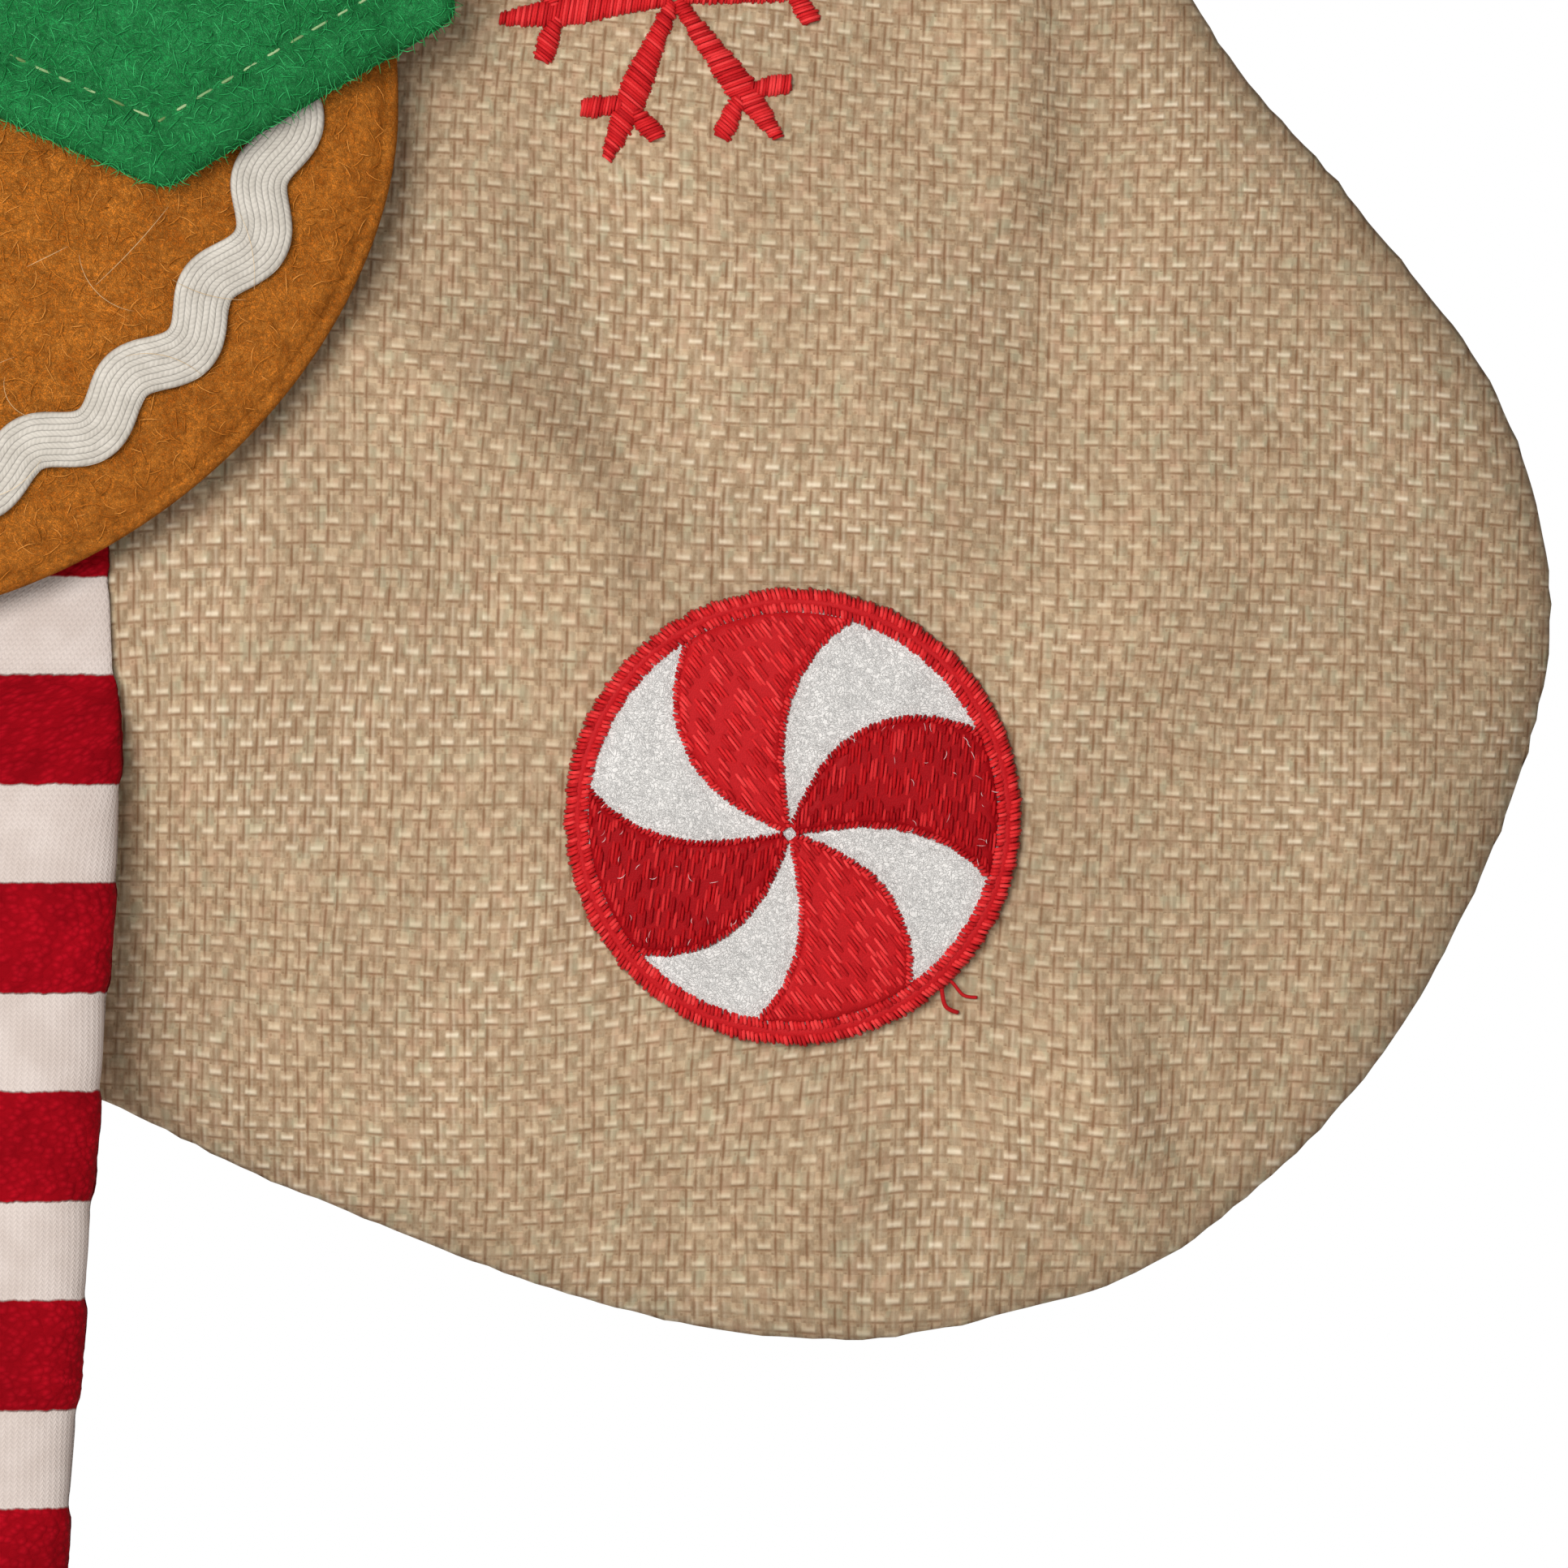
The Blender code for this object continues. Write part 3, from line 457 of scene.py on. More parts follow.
def edged_net(outline, spacing, depths, clear):
    """A net with rows of points along a closed outline, and a grid inside them."""
    return flat_net(outline, np.vstack([inner_rows(outline, depths), grid_inside(outline, spacing, clear)]))


def soft_net(outline, spacing, depths):
    """A net that is fine along the outline, for rounded edges, and how deep in it each point is."""
    outline = even_line(closed(outline), spacing)[:-1]
    flat, faces = edged_net(outline, spacing, depths, depths[-1] + spacing * 0.6)
    return flat, faces, line_distance(flat, closed(outline))[0]


def star_net(outline, centre, scales):
    """Rings of an outline drawn in towards a centre, the faces that join them, and their scales."""
    count = len(outline)
    last, tip = (len(scales) - 1) * count, len(scales) * count
    flat = np.vstack([*(centre + (outline - centre) * scale for scale in scales), [centre]])
    faces = strips(len(scales), count, around=True)
    faces += [(last + i, last + (i + 1) % count, tip) for i in range(count)]
    return flat, faces, np.concatenate([np.repeat(scales, count), [0.0]])


def radial_share(flat, outline, centre):
    """How far out each point is, from 0 at the centre to 1 on the outline."""
    rim, spots = outline - centre, np.asarray(flat, float) - centre
    turn = np.arctan2(rim[:, 1], rim[:, 0])
    order = np.argsort(turn)
    reach = np.hypot(rim[:, 0], rim[:, 1])[order]
    radius = np.interp(np.arctan2(spots[:, 1], spots[:, 0]), turn[order], reach, period=2 * math.pi)
    return np.hypot(spots[:, 0], spots[:, 1]) / radius


def dome(share):
    """The crown of a stuffed pad: 1 in the middle, 0 at the seam, steep near the seam."""
    return np.clip(1 - np.clip(share, 0, 1) ** 2.2, 0, 1) ** 0.62


# ================================================================ material nodes


class Wire:
    """A value in a material's nodes, which takes part in sums as a number does."""

    def __init__(self, graph, socket):
        self.graph, self.socket = graph, socket


for sign, operation in (
    ("add", "ADD"), ("sub", "SUBTRACT"), ("mul", "MULTIPLY"), ("truediv", "DIVIDE"), ("pow", "POWER"),
):
    setattr(Wire, f"__{sign}__", lambda a, b, kind=operation: a.graph.math(kind, a, b))
    setattr(Wire, f"__r{sign}__", lambda a, b, kind=operation: a.graph.math(kind, b, a))


class Graph:
    """One material and short ways to add nodes to it."""

    def __init__(self, name, roughness=0.9, specular=0.3):
        self.material = bpy.data.materials.new(name)
        self.material.use_nodes = True
        self.tree = self.material.node_tree
        self.shader = self.tree.nodes["Principled BSDF"]
        self.set(Roughness=roughness, Specular_IOR_Level=specular)

    def set(self, **values):
        for key, value in values.items():
            self.put(self.shader.inputs[key.replace("_", " ")], value)

    def put(self, socket, value):
        if isinstance(value, Wire):
            self.tree.links.new(value.socket, socket)
        else:
            socket.default_value = value

    def node(self, kind, inputs, output, **settings):
        made = self.tree.nodes.new(kind)
        for key, value in settings.items():
            setattr(made, key, value)
        for key, value in inputs.items():
            self.put(made.inputs[key], value)
        return Wire(self, made.outputs[output])

    def math(self, operation, *values):
        return self.node("ShaderNodeMath", dict(enumerate(values)), 0, operation=operation)

    def attribute(self, name, output="Vector"):
        return self.node("ShaderNodeAttribute", {}, output, attribute_name=name)

    def split(self, vector):
        made = self.tree.nodes.new("ShaderNodeSeparateXYZ")
        self.put(made.inputs[0], vector)
        return [Wire(self, made.outputs[k]) for k in range(3)]

    def join(self, x, y=0.0, z=0.0):
        return self.node("ShaderNodeCombineXYZ", {0: x, 1: y, 2: z}, 0)

    def noise(self, place, size, detail=2.0, roughness=0.5):
        """Noise from 0 to 1, with features about size millimetres across."""
        values = {"Vector": place, "Scale": 1.0 / size, "Detail": detail, "Roughness": roughness}
        return self.node("ShaderNodeTexNoise", values, 0)

    def random(self, number):
        return self.node("ShaderNodeTexWhiteNoise", {"W": number}, "Value", noise_dimensions="1D")

    def wave(self, turn):
        """A sine that runs from 0 to 1."""
        return self.math("SINE", turn) * 0.5 + 0.5

    def ramp(self, value, low, high, start=0.0, end=1.0):
        """The value moved smoothly from low..high to start..end, and held there outside it."""
        places = {"Value": value, "From Min": low, "From Max": high, "To Min": start, "To Max": end}
        return self.node("ShaderNodeMapRange", places, 0, interpolation_type="SMOOTHSTEP")

    def mix(self, share, first, second):
        colours = [v if isinstance(v, Wire) else (*v, 1.0) for v in (first, second)]
        values = {0: share, 6: colours[0], 7: colours[1]}
        return self.node("ShaderNodeMix", values, 2, data_type="RGBA", clamp_factor=True)

    def shade(self, colour, value, low, high, start, end):
        """The colour times a ramp of the value."""
        share = self.ramp(value, low, high, start, end)
        values = {0: 1.0, 6: colour, 7: self.join(share, share, share)}
        return self.node("ShaderNodeMix", values, 2, data_type="RGBA", blend_type="MULTIPLY")

    def tint(self, socket, colour, gain, lift=0.0):
        """A socket's colour from a pale one, made stronger but not past 1."""
        self.put(self.shader.inputs[socket], (*[min(1.0, lift + gain * c) for c in colour], 1.0))

    def bump(self, height, depth):
        """Relief from a height of 0 to 1, depth millimetres deep; it ends the material."""
        values = {"Height": height, "Distance": depth * MM, "Strength": 1.0}
        self.put(self.shader.inputs["Normal"], self.node("ShaderNodeBump", values, 0))
        return self.material


# ================================================================ materials

WARP_PITCH = 1.27
WEFT_PITCH = 1.51


def burlap():
    """An open, slubby plain weave on a nearly flat ground: thin crests with a painted highlight beside slits
    with painted shade.
    """
    g = Graph("burlap", roughness=0.80, specular=0.05)
    place = g.attribute("weave")
    x, z, _ = g.split(place)
    drift = g.noise(place, 9.0) - 0.5
    sway = g.noise(g.join(x * 0.7 + 57.0, z + 31.0), 8.0) - 0.5
    u = x / WARP_PITCH + drift * 0.5
    v = z / WEFT_PITCH + sway * 0.5
    warp, weft = g.math("FLOOR", u), g.math("FLOOR", v)
    in_warp = u - warp - 0.5 - (g.random(warp * 1.7 + 0.31) - 0.5) * 0.34
    in_weft = v - weft - 0.5 - (g.random(weft * 2.3 + 0.77) - 0.5) * 0.26
    warp_over = g.ramp(g.math("COSINE", (v - 0.5 + warp) * math.pi), -0.60, 0.20)
    weft_over = 1.0 - g.ramp(g.math("COSINE", (u - 0.5 + weft) * math.pi), -0.35, 0.40)

    def line(place, middle, wide):
        return g.math("EXPONENT", ((place - middle) / wide) ** 2.0 * -1.0)

    def patchy(spot, low, high, least):
        return g.ramp(g.noise(spot, 1.0, 3.0, 0.6), low, high, least, 1.0)

    # The crests are real ridges in the bump and also carry a painted highlight in the colour.
    warp_crest = line(in_warp, 0.10, 0.115) * g.ramp(warp_over, 0.0, 1.0, 0.70, 1.0)
    warp_crest = warp_crest * patchy(g.join(warp * 9.1, v * 0.22), 0.36, 0.64, 0.12)
    weft_crest = line(in_weft, 0.04, 0.165) * weft_over
    weft_crest = weft_crest * patchy(g.join(u * 0.5, weft * 7.7), 0.32, 0.64, 0.18)
    # The slits are real grooves in the bump and also take painted shade in the colour.
    warp_slit = line(in_warp, -0.16, 0.105) * g.ramp(warp_over, 0.0, 1.0, 0.80, 1.0)
    warp_slit = warp_slit * patchy(g.join(warp * 4.7, v * 0.17), 0.36, 0.58, 0.20)
    weft_slit = line(in_weft, -0.20, 0.088) * g.ramp(weft_over, 0.0, 1.0, 0.55, 1.0)
    weft_slit = weft_slit * patchy(g.join(u * 0.26, weft * 3.9), 0.34, 0.58, 0.22)
    # Painted shade at the corner where the yarns cross.
    hole = line(in_warp, -0.40, 0.12) * line(in_weft, -0.42, 0.12)
    crest = g.math("MAXIMUM", warp_crest * 0.40, weft_crest)
    slit = g.math("MAXIMUM", warp_slit * (1.0 - weft_crest * 0.8) * 0.85, weft_slit * 0.80)
    slit = g.math("MAXIMUM", slit, hole * 0.55)
    warp_round = g.math("COSINE", in_warp * math.pi) * warp_over
    round_yarn = warp_round + g.math("COSINE", in_weft * math.pi) * weft_over
    warp_fibre = g.noise(g.join(x * 6.0, z * 0.9), 1.0, 3.0, 0.65)
    weft_fibre = g.noise(g.join(x * 0.9 + 9.0, z * 6.0), 1.0, 3.0, 0.65)
    fibre = warp_fibre * warp_over + weft_fibre * (1.0 - warp_over)

    tone = g.noise(g.join(u * 0.9, v * 0.75), 1.0, 4.0, 0.7)
    colour = g.mix(g.ramp(tone, 0.34, 0.66), (0.212, 0.140, 0.080), (0.320, 0.232, 0.144))
    hue = g.noise(g.join(x * 0.55 + 91.0, z * 0.35), 1.0, 3.0, 0.55)
    colour = g.mix(g.ramp(hue, 0.52, 0.70, 0.0, 0.75), colour, (0.275, 0.236, 0.150))
    colour = g.mix(g.ramp(hue, 0.48, 0.30, 0.0, 0.60), colour, (0.315, 0.200, 0.125))
    streak = g.noise(g.join(x * 0.28, z * 1.6 + 17.0), 1.0, 3.0, 0.6)
    colour = g.mix(g.ramp(streak, 0.58, 0.80, 0.0, 0.5), colour, (0.205, 0.110, 0.058))
    colour = g.mix(g.ramp(fibre, 0.45, 0.80, 0.0, 0.30), colour, (0.360, 0.285, 0.190))
    # Painted highlight: the crests take a pale colour, brighter in broad patches, where the yarn would catch
    # the light.
    highlight_patches = g.ramp(g.noise(g.join(x * 0.9, z), 20.0, 3.0), 0.46, 0.64)
    colour = g.shade(colour, weft_over, 0.0, 1.0, 0.91, 1.08)
    pale = g.mix(highlight_patches, (0.500, 0.410, 0.290), (0.640, 0.555, 0.425))
    colour = g.mix(crest * 0.55, colour, pale)
    # Painted shade: dark brown laid over the slits and the corners between yarns.
    colour = g.mix(slit * 0.82, colour, (0.125, 0.052, 0.021))
    # Painted shade: broad soft blotches, a few percent lighter and darker at random, in place of the shading
    # of soft folds.
    blotch_and_shade = g.noise(g.join(x, z * 0.6), 15.0, 3.0, 0.55)
    g.set(Base_Color=g.shade(colour, blotch_and_shade, 0.34, 0.66, 0.93, 1.05))
    return g.bump(crest * 0.36 - slit * 0.28 + round_yarn * 0.20 + fibre * 0.16, 0.19)


def felt(name, colour, pale, dark, fuzz=1.0, size=1.0, relief=1.0):
    """Matted fibres: short bright strands over a blotchy ground, with painted shade in its small pits."""
    g = Graph(name, roughness=0.95, specular=0.02)
    place = g.attribute("place")
    x, y, z = g.split(place)
    blotch = g.noise(place, 2.6 * size, 5.0, 0.66)
    colour = g.mix(g.ramp(blotch, 0.30, 0.68), dark, colour)
    bend = g.noise(place, 0.9 * size) * 1.6
    spots = g.join(x + bend, y, (z - bend) * 0.45), g.join((x - bend) * 0.45, y + 7.0, z + bend)
    one, other = (
        g.math("ABSOLUTE", g.noise(spot, wide * size, 3.0) - 0.5) for spot, wide in zip(spots, (0.20, 0.23))
    )
    lines = g.ramp(g.math("MINIMUM", one, other), 0.0, 0.05, 1.0, 0.0)
    colour = g.mix(lines * 0.42 * fuzz, colour, pale)
    pits = g.noise(place, 0.60 * size, 4.0, 0.65)
    # Painted shade: the felt is darker in the low pits of its relief and a little lighter on its high spots.
    colour = g.shade(colour, pits, 0.30, 0.62, 1.0 - 0.28 * relief, 1.0 + 0.10 * relief)
    g.set(Base_Color=colour, Sheen_Weight=0.06 * fuzz, Sheen_Roughness=0.6)
    g.tint("Sheen Tint", pale, 1.5)
    return g.bump(pits * 0.9 + lines * 0.30 + blotch * 1.0, 0.55 * size * relief)


def satin(name, colour, pale, dark, roughness=0.42, specular=0.14):
    """Lustrous embroidery thread, or a duller fibre; each strand has its own tone."""
    g = Graph(name, roughness, specular)
    tone, fine = g.attribute("tone", "Fac"), g.noise(g.attribute("place"), 0.12)
    colour = g.mix(g.ramp(tone, 0.0, 0.55), dark, colour)
    colour = g.mix(g.ramp(tone, 0.5, 1.0, 0.0, 0.75), colour, pale)
    g.set(Base_Color=g.shade(colour, fine, 0.3, 0.7, 0.85, 1.08))
    g.tint("Specular Tint", pale, 1.2, 0.15)
    return g.bump(fine, 0.03)


def rickrack_weave():
    """Fine woven ribs that follow the wave, each with slanting threads."""
    g = Graph("rickrack", roughness=0.6, specular=0.10)
    across, run, _ = g.split(g.attribute("band"))
    place = g.attribute("place")
    wander = g.noise(place, 1.4) - 0.5
    ribs = (across * 0.5 + 0.5) * 9.0 + wander * 0.35
    row, spot = g.math("FLOOR", ribs), g.math("FRACT", ribs) - 0.5
    rib = g.math("SQRT", g.math("MAXIMUM", 1.0 - (spot * 2.0) ** 2.0, 0.0))
    lean = g.math("MODULO", row, 2.0) * 2.0 - 1.0
    threads = g.wave(run * 15.0 + spot * lean * 4.5 + row * 2.1 + wander * 4.0)
    cloth = g.noise(place, 2.2, 4.0, 0.6)
    colour = g.mix(g.ramp(cloth, 0.3, 0.7), (0.335, 0.305, 0.263), (0.405, 0.372, 0.325))
    # Painted shade: darker in the grooves between the ribs and between the slanting threads.
    colour = g.shade(colour, rib, 0.0, 0.75, 0.74, 1.0)
    colour = g.shade(colour, threads, 0.0, 0.6, 0.92, 1.02)
    g.set(Base_Color=colour, Sheen_Weight=0.08, Sheen_Roughness=0.4)
    return g.bump(rib * 0.8 + threads * 0.18, 0.13)


STRIPE_TOP = -428.3
STRIPE_PERIOD = 19.62
RED_SHARE = 10.45 / STRIPE_PERIOD


def striped_knit():
    """Wine-red velour bands, raised a little, between smooth white knit bands."""
    g = Graph("striped_knit", roughness=0.9, specular=0.02)
    around, z, red_hint = g.split(g.attribute("knit"))
    ragged = (g.noise(g.join(around, z * 0.2), 1.1, 3.0) - 0.5) * 0.55
    red = g.ramp(red_hint + ragged, -0.10, 0.16)
    wale = g.math("ABSOLUTE", g.math("FRACT", around / 0.62) - 0.5) * 2.0
    loop = g.wave((z / 0.46 + wale * 0.8) * 2.0 * math.pi)
    wander = g.noise(g.join(around * 0.5, z), 0.9, 3.0, 0.6)
    tufts = g.join(around / 0.78 + (wander - 0.5) * 0.5, z / 0.60 + (wander - 0.5) * 0.8)
    tuft = 1.0 - g.node("ShaderNodeTexVoronoi", {"Vector": tufts, "Scale": 1.0}, "Distance")
    shade = g.noise(g.join(around * 0.6, z * 0.6), 3.0, 3.0)
    # Painted shade: the velour is darker between its tufts and lighter on their tops.
    wine = g.mix(g.ramp(tuft, 0.35, 0.95), (0.170, 0.0012, 0.004), (0.245, 0.0022, 0.007))
    wine = g.shade(wine, shade, 0.2, 0.8, 0.78, 1.18)
    white = g.mix(g.ramp(shade, 0.3, 0.7), (0.375, 0.315, 0.282), (0.425, 0.365, 0.332))
    # Painted shade: the white knit is darker in the hollows between its loops.
    white = g.shade(white, loop * (1.0 - wale * 0.6), 0.0, 0.5, 0.93, 1.02)
    g.set(Base_Color=g.mix(red, white, wine), Sheen_Weight=0.06, Sheen_Roughness=0.35)
    g.tint("Sheen Tint", (1.0, 0.22, 0.20), 1.0)
    return g.bump(tuft * red * 0.9 + loop * (1.0 - wale) * (1.0 - red) * 0.22 + red * 0.55, 0.24)


def plush():
    """Cream pile in soft tufts."""
    g = Graph("plush", roughness=1.0, specular=0.1)
    place = g.attribute("place")
    x, y, z = g.split(place)
    lean = g.noise(place, 9.0) * 7.0
    tuft = g.noise(g.join(x + lean * 0.3, y, z * 0.55 + lean), 1.9, 4.0, 0.65)
    strand = g.noise(g.join(x * 1.5 + lean, y * 1.5, z * 0.45), 0.42, 3.0, 0.6)
    # Painted shade: the pile is darker between its tufts and strands, paler on their tops.
    colour = g.mix(g.ramp(tuft, 0.28, 0.62), (0.330, 0.290, 0.232), (0.500, 0.465, 0.405))
    colour = g.shade(colour, strand, 0.25, 0.7, 0.86, 1.05)
    g.set(Base_Color=colour, Sheen_Weight=0.12, Sheen_Roughness=0.5)
    return g.bump(tuft + strand * 0.3, 1.1)


def herringbone():
    """Cotton tape woven in narrow chevrons."""
    g = Graph("cotton_tape", roughness=0.85, specular=0.25)
    across, run, _ = g.split(g.attribute("band"))
    fold = g.math("ABSOLUTE", g.math("FRACT", across * 1.5 + 0.5) - 0.5)
    twill = g.wave((run / 0.95 + fold * 4.6) * 2.0 * math.pi)
    fibre = g.noise(g.attribute("place"), 0.5, 4.0, 0.6)
    # Painted shade: darker in the grooves of the twill and between its fibres.
    colour = g.mix(g.ramp(twill, 0.1, 0.7), (0.300, 0.252, 0.185), (0.470, 0.410, 0.315))
    g.set(Base_Color=g.shade(colour, fibre, 0.3, 0.7, 0.86, 1.06), Sheen_Weight=0.2)
    return g.bump(twill + fibre * 0.4, 0.18)


def lining_cloth():
    """A fine, smooth plain weave."""
    g = Graph("lining", roughness=0.8, specular=0.25)
    x, z, _ = g.split(g.attribute("weave"))
    weave = g.wave(x * (2.0 * math.pi / 0.55)) * g.wave(z * (2.0 * math.pi / 0.55))
    soft = g.noise(g.join(x, z), 12.0, 4.0)
    colour = g.mix(g.ramp(soft, 0.3, 0.7), (0.42, 0.380, 0.320), (0.52, 0.480, 0.410))
    # Painted shade: darker in the hollows of the weave.
    g.set(Base_Color=g.shade(colour, weave, 0.0, 0.7, 0.84, 1.03), Sheen_Weight=0.1)
    return g.bump(weave, 0.08)


def glossy_bead():
    """Moulded black plastic with faint scuffs."""
    g = Graph("black_plastic", specular=0.5)
    scuff = g.noise(g.attribute("place"), 1.3, 5.0, 0.7)
    g.set(Base_Color=g.mix(g.ramp(scuff, 0.4, 0.8), (0.006, 0.005, 0.005), (0.022, 0.019, 0.018)))
    g.set(Roughness=g.ramp(scuff, 0.45, 0.85, 0.12, 0.34))
    return g.bump(scuff, 0.015)


def floor_paint():
    g = Graph("pale_floor", roughness=0.9, specular=0.1)
    cloud = g.noise(g.node("ShaderNodeTexCoord", {}, "Object"), 0.8, 3.0)
    g.set(Base_Color=g.mix(cloud, (0.80, 0.80, 0.79), (0.84, 0.84, 0.83)))
    return g.material


BURLAP, LINING, PLUSH, TAPE = burlap(), lining_cloth(), plush(), herringbone()
RICKRACK, KNIT, BEAD = rickrack_weave(), striped_knit(), glossy_bead()
BROWN_FELT = felt("brown_felt", (0.440, 0.134, 0.015), (0.66, 0.27, 0.052), (0.265, 0.068, 0.006))
GREEN_FELT = felt("green_felt", (0.016, 0.200, 0.052), (0.070, 0.42, 0.14), (0.008, 0.120, 0.028))
WHITE = ((0.51, 0.492, 0.470), (0.60, 0.59, 0.575), (0.455, 0.438, 0.418))
WHITE_FELT = felt("white_felt", *WHITE, fuzz=0.45, size=1.5, relief=0.3)
RED_FELT = felt("red_felt", (0.30, 0.007, 0.010), (0.48, 0.04, 0.04), (0.19, 0.003, 0.005))
PINK_FELT = felt("pink_felt", (0.52, 0.16, 0.14), (0.70, 0.34, 0.30), (0.42, 0.11, 0.10))
RED_THREAD = satin("red_thread", (0.42, 0.012, 0.014), (0.58, 0.040, 0.040), (0.29, 0.007, 0.009))
# A darker copy of the red thread: painted shade for blades whose threads run up and down.
SHADED_RED_THREAD = satin("shaded_red_thread", (0.30, 0.005, 0.007), (0.44, 0.020, 0.022), (0.20, 0.003, 0.005))
WHITE_THREAD = satin("white_thread", (0.50, 0.30, 0.29), (0.62, 0.50, 0.48), (0.40, 0.13, 0.13))
CREAM_THREAD = satin("cream_thread", (0.17, 0.27, 0.12), (0.28, 0.37, 0.19), (0.10, 0.17, 0.06))
DARK_THREAD = satin("black_thread", (0.030, 0.017, 0.012), (0.07, 0.045, 0.03), (0.012, 0.007, 0.005))
BROWN = ((0.42, 0.138, 0.018), (0.56, 0.23, 0.050), (0.29, 0.080, 0.009))
BROWN_FIBRE = satin("brown_fibre", *BROWN, 0.9, 0.02)
GREEN = ((0.022, 0.240, 0.066), (0.050, 0.37, 0.12), (0.012, 0.16, 0.038))
GREEN_FIBRE = satin("green_fibre", *GREEN, 0.9, 0.02)
PALE_FIBRE = satin("pale_fibre", (0.52, 0.36, 0.19), (0.72, 0.58, 0.40), (0.42, 0.25, 0.11), 0.8, 0.05)


# ================================================================ the bag


def bag_outline():
    """The flat panel's outline: the seam, and the straight mouth across the top."""
    seam = even_line(SEAM, 1.6)
    nudge = value_noise(seam[:, 0] * 1.7, seam[:, 1] * 1.7, 2.2, 21)
    number = np.arange(len(seam))
    ends = np.clip(np.minimum(number, number[::-1]) / 6.0, 0, 1)
    seam = seam + square_to(unit(np.gradient(seam, axis=0))) * (nudge * 0.16 * ends)[:, None]
    return np.vstack([seam, even_line([seam[-1], seam[0]], 1.6)[1:-1]])


def weave_place(flat):
    """Cloth coordinates: the rows of yarns bend a little, as the cloth was pulled in sewing."""
    x, z = flat.T
    u = x + 2.6 * value_noise(x, z, 60.0, 31) + 0.6 * value_noise(x, z, 21.0, 32)
    v = z + 3.6 * value_noise(x, z, 55.0, 33) + 0.7 * value_noise(x, z, 20.0, 34)
    way = heading(math.radians(2.0))
    return u[:, None] * way + v[:, None] * square_to(way)


def join_layers(outer, inner, outer_points, inner_points, rim):
    """One closed mesh from two layers whose first rim points run round the same edge."""
    shift = len(outer_points)
    faces = [*outer, *shifted(inner, shift, flip=True)]
    faces += [((i + 1) % rim, i, i + shift, (i + 1) % rim + shift) for i in range(rim)]
    return np.vstack([outer_points, inner_points]), faces


def bag_panels():
    outline = bag_outline()
    rim = len(outline)
    fine, fine_faces = edged_net(outline, 1.75 * COARSE, (0.35, 1.0, 2.1, 3.6), 4.6)
    coarse, coarse_faces = edged_net(outline, 4.0 * COARSE, (1.0, 3.0), 3.2 * COARSE + 2.0)
    weave = weave_place(np.vstack([fine, coarse]))
    for side, front in (("front", True), ("back", False)):
        outer = panel_points(fine, 0.0, front)
        inner = panel_points(coarse, -1.15, front)
        solid = join_layers(fine_faces, coarse_faces, outer, inner, rim)
        piece = add_mesh(f"burlap_{side}", *solid, BURLAP, "burlap", [f"shell_{side}"], weave=weave)
        outer = panel_points(coarse, -1.6, front)
        inner = panel_points(coarse, -2.3, front)
        solid = join_layers(coarse_faces, coarse_faces, outer, inner, rim)
        name, twice = f"lining_cloth_{side}", np.vstack([coarse, coarse])
        piece = add_mesh(name, *solid, LINING, "lining", [f"lining_{side}"], weave=twice)


def ring_stations(spacing):
    """Flat x positions for one side of the leg, evenly spaced round its curved face."""
    x = LEG_LEFT + (LEG_RIGHT - LEG_LEFT) * (1 - np.cos(np.linspace(0, math.pi, 2000))) / 2
    height = PUFF_FRONT * round_edge(np.minimum(x - LEG_LEFT, LEG_RIGHT - x), PUFF_REACH)
    return even_line(np.column_stack([x, height]), spacing)[:, 0]


def cuff():
    """The plush cuff: one band round the leg with soft rolled edges and a tufted pile."""
    spacing, half = 1.5 * COARSE, 2.5
    x, low, high = ring_stations(spacing), CUFF_LOW[2] + half, CUFF_HIGH[2] - half
    rolls = [(half * math.sin(a), half * math.cos(a)) for a in np.linspace(0, math.pi, 7)[1:-1]]
    section = [(z, 2 * half) for z in np.arange(low, high + 0.1, spacing)]
    section += [(high + up, half + out) for up, out in rolls]
    section += [(z, 0.0) for z in np.linspace(high, low, 14)]
    section += [(low - up, half - out) for up, out in rolls]
    level, off = np.array(section).T
    rings = []
    for front in (True, False):
        for at in x[::-1] if front else x:
            flat = np.column_stack([np.full(len(level), at), level])
            rings.append(panel_points(flat, CUFF_OUT + off, front, waves=False))
    rings = np.array(rings)
    count, size = rings.shape[:2]
    around = heading(full_turn(count)) * count * spacing / (2 * math.pi)
    depth = off / (2 * half)
    a, b = around[:, :1], around[:, 1:]
    tuft = 0.9 * value_noise(a + level * 0.9, b * 1.1 - level * 0.5, 4.2, 41)
    tuft += 0.5 * value_noise(a * 1.2 - level, b + level * 0.8, 2.3, 42)
    tuft += 1.0 * value_noise(a, b + level, 17.0, 43)
    out = (np.roll(rings, -1, axis=0) - np.roll(rings, 1, axis=0))[..., :2]
    normal = square_to(out) / (np.linalg.norm(out, axis=-1, keepdims=True) + 1e-9)
    centre = np.array([(LEG_LEFT + LEG_RIGHT) / 2, 0.0])
    normal *= np.sign((normal * (rings[..., :2] - centre)).sum(-1, keepdims=True))
    rings[..., :2] += normal * (tuft * depth - 0.3 * depth)[..., None]
    net = [tuple(i % (count * size) for i in face) for face in strips(count + 1, size, around=True)]
    piece = add_mesh("plush_cuff", rings.reshape(-1, 3), net, PLUSH, "fleece", ["cuff_front", "cuff_back"])


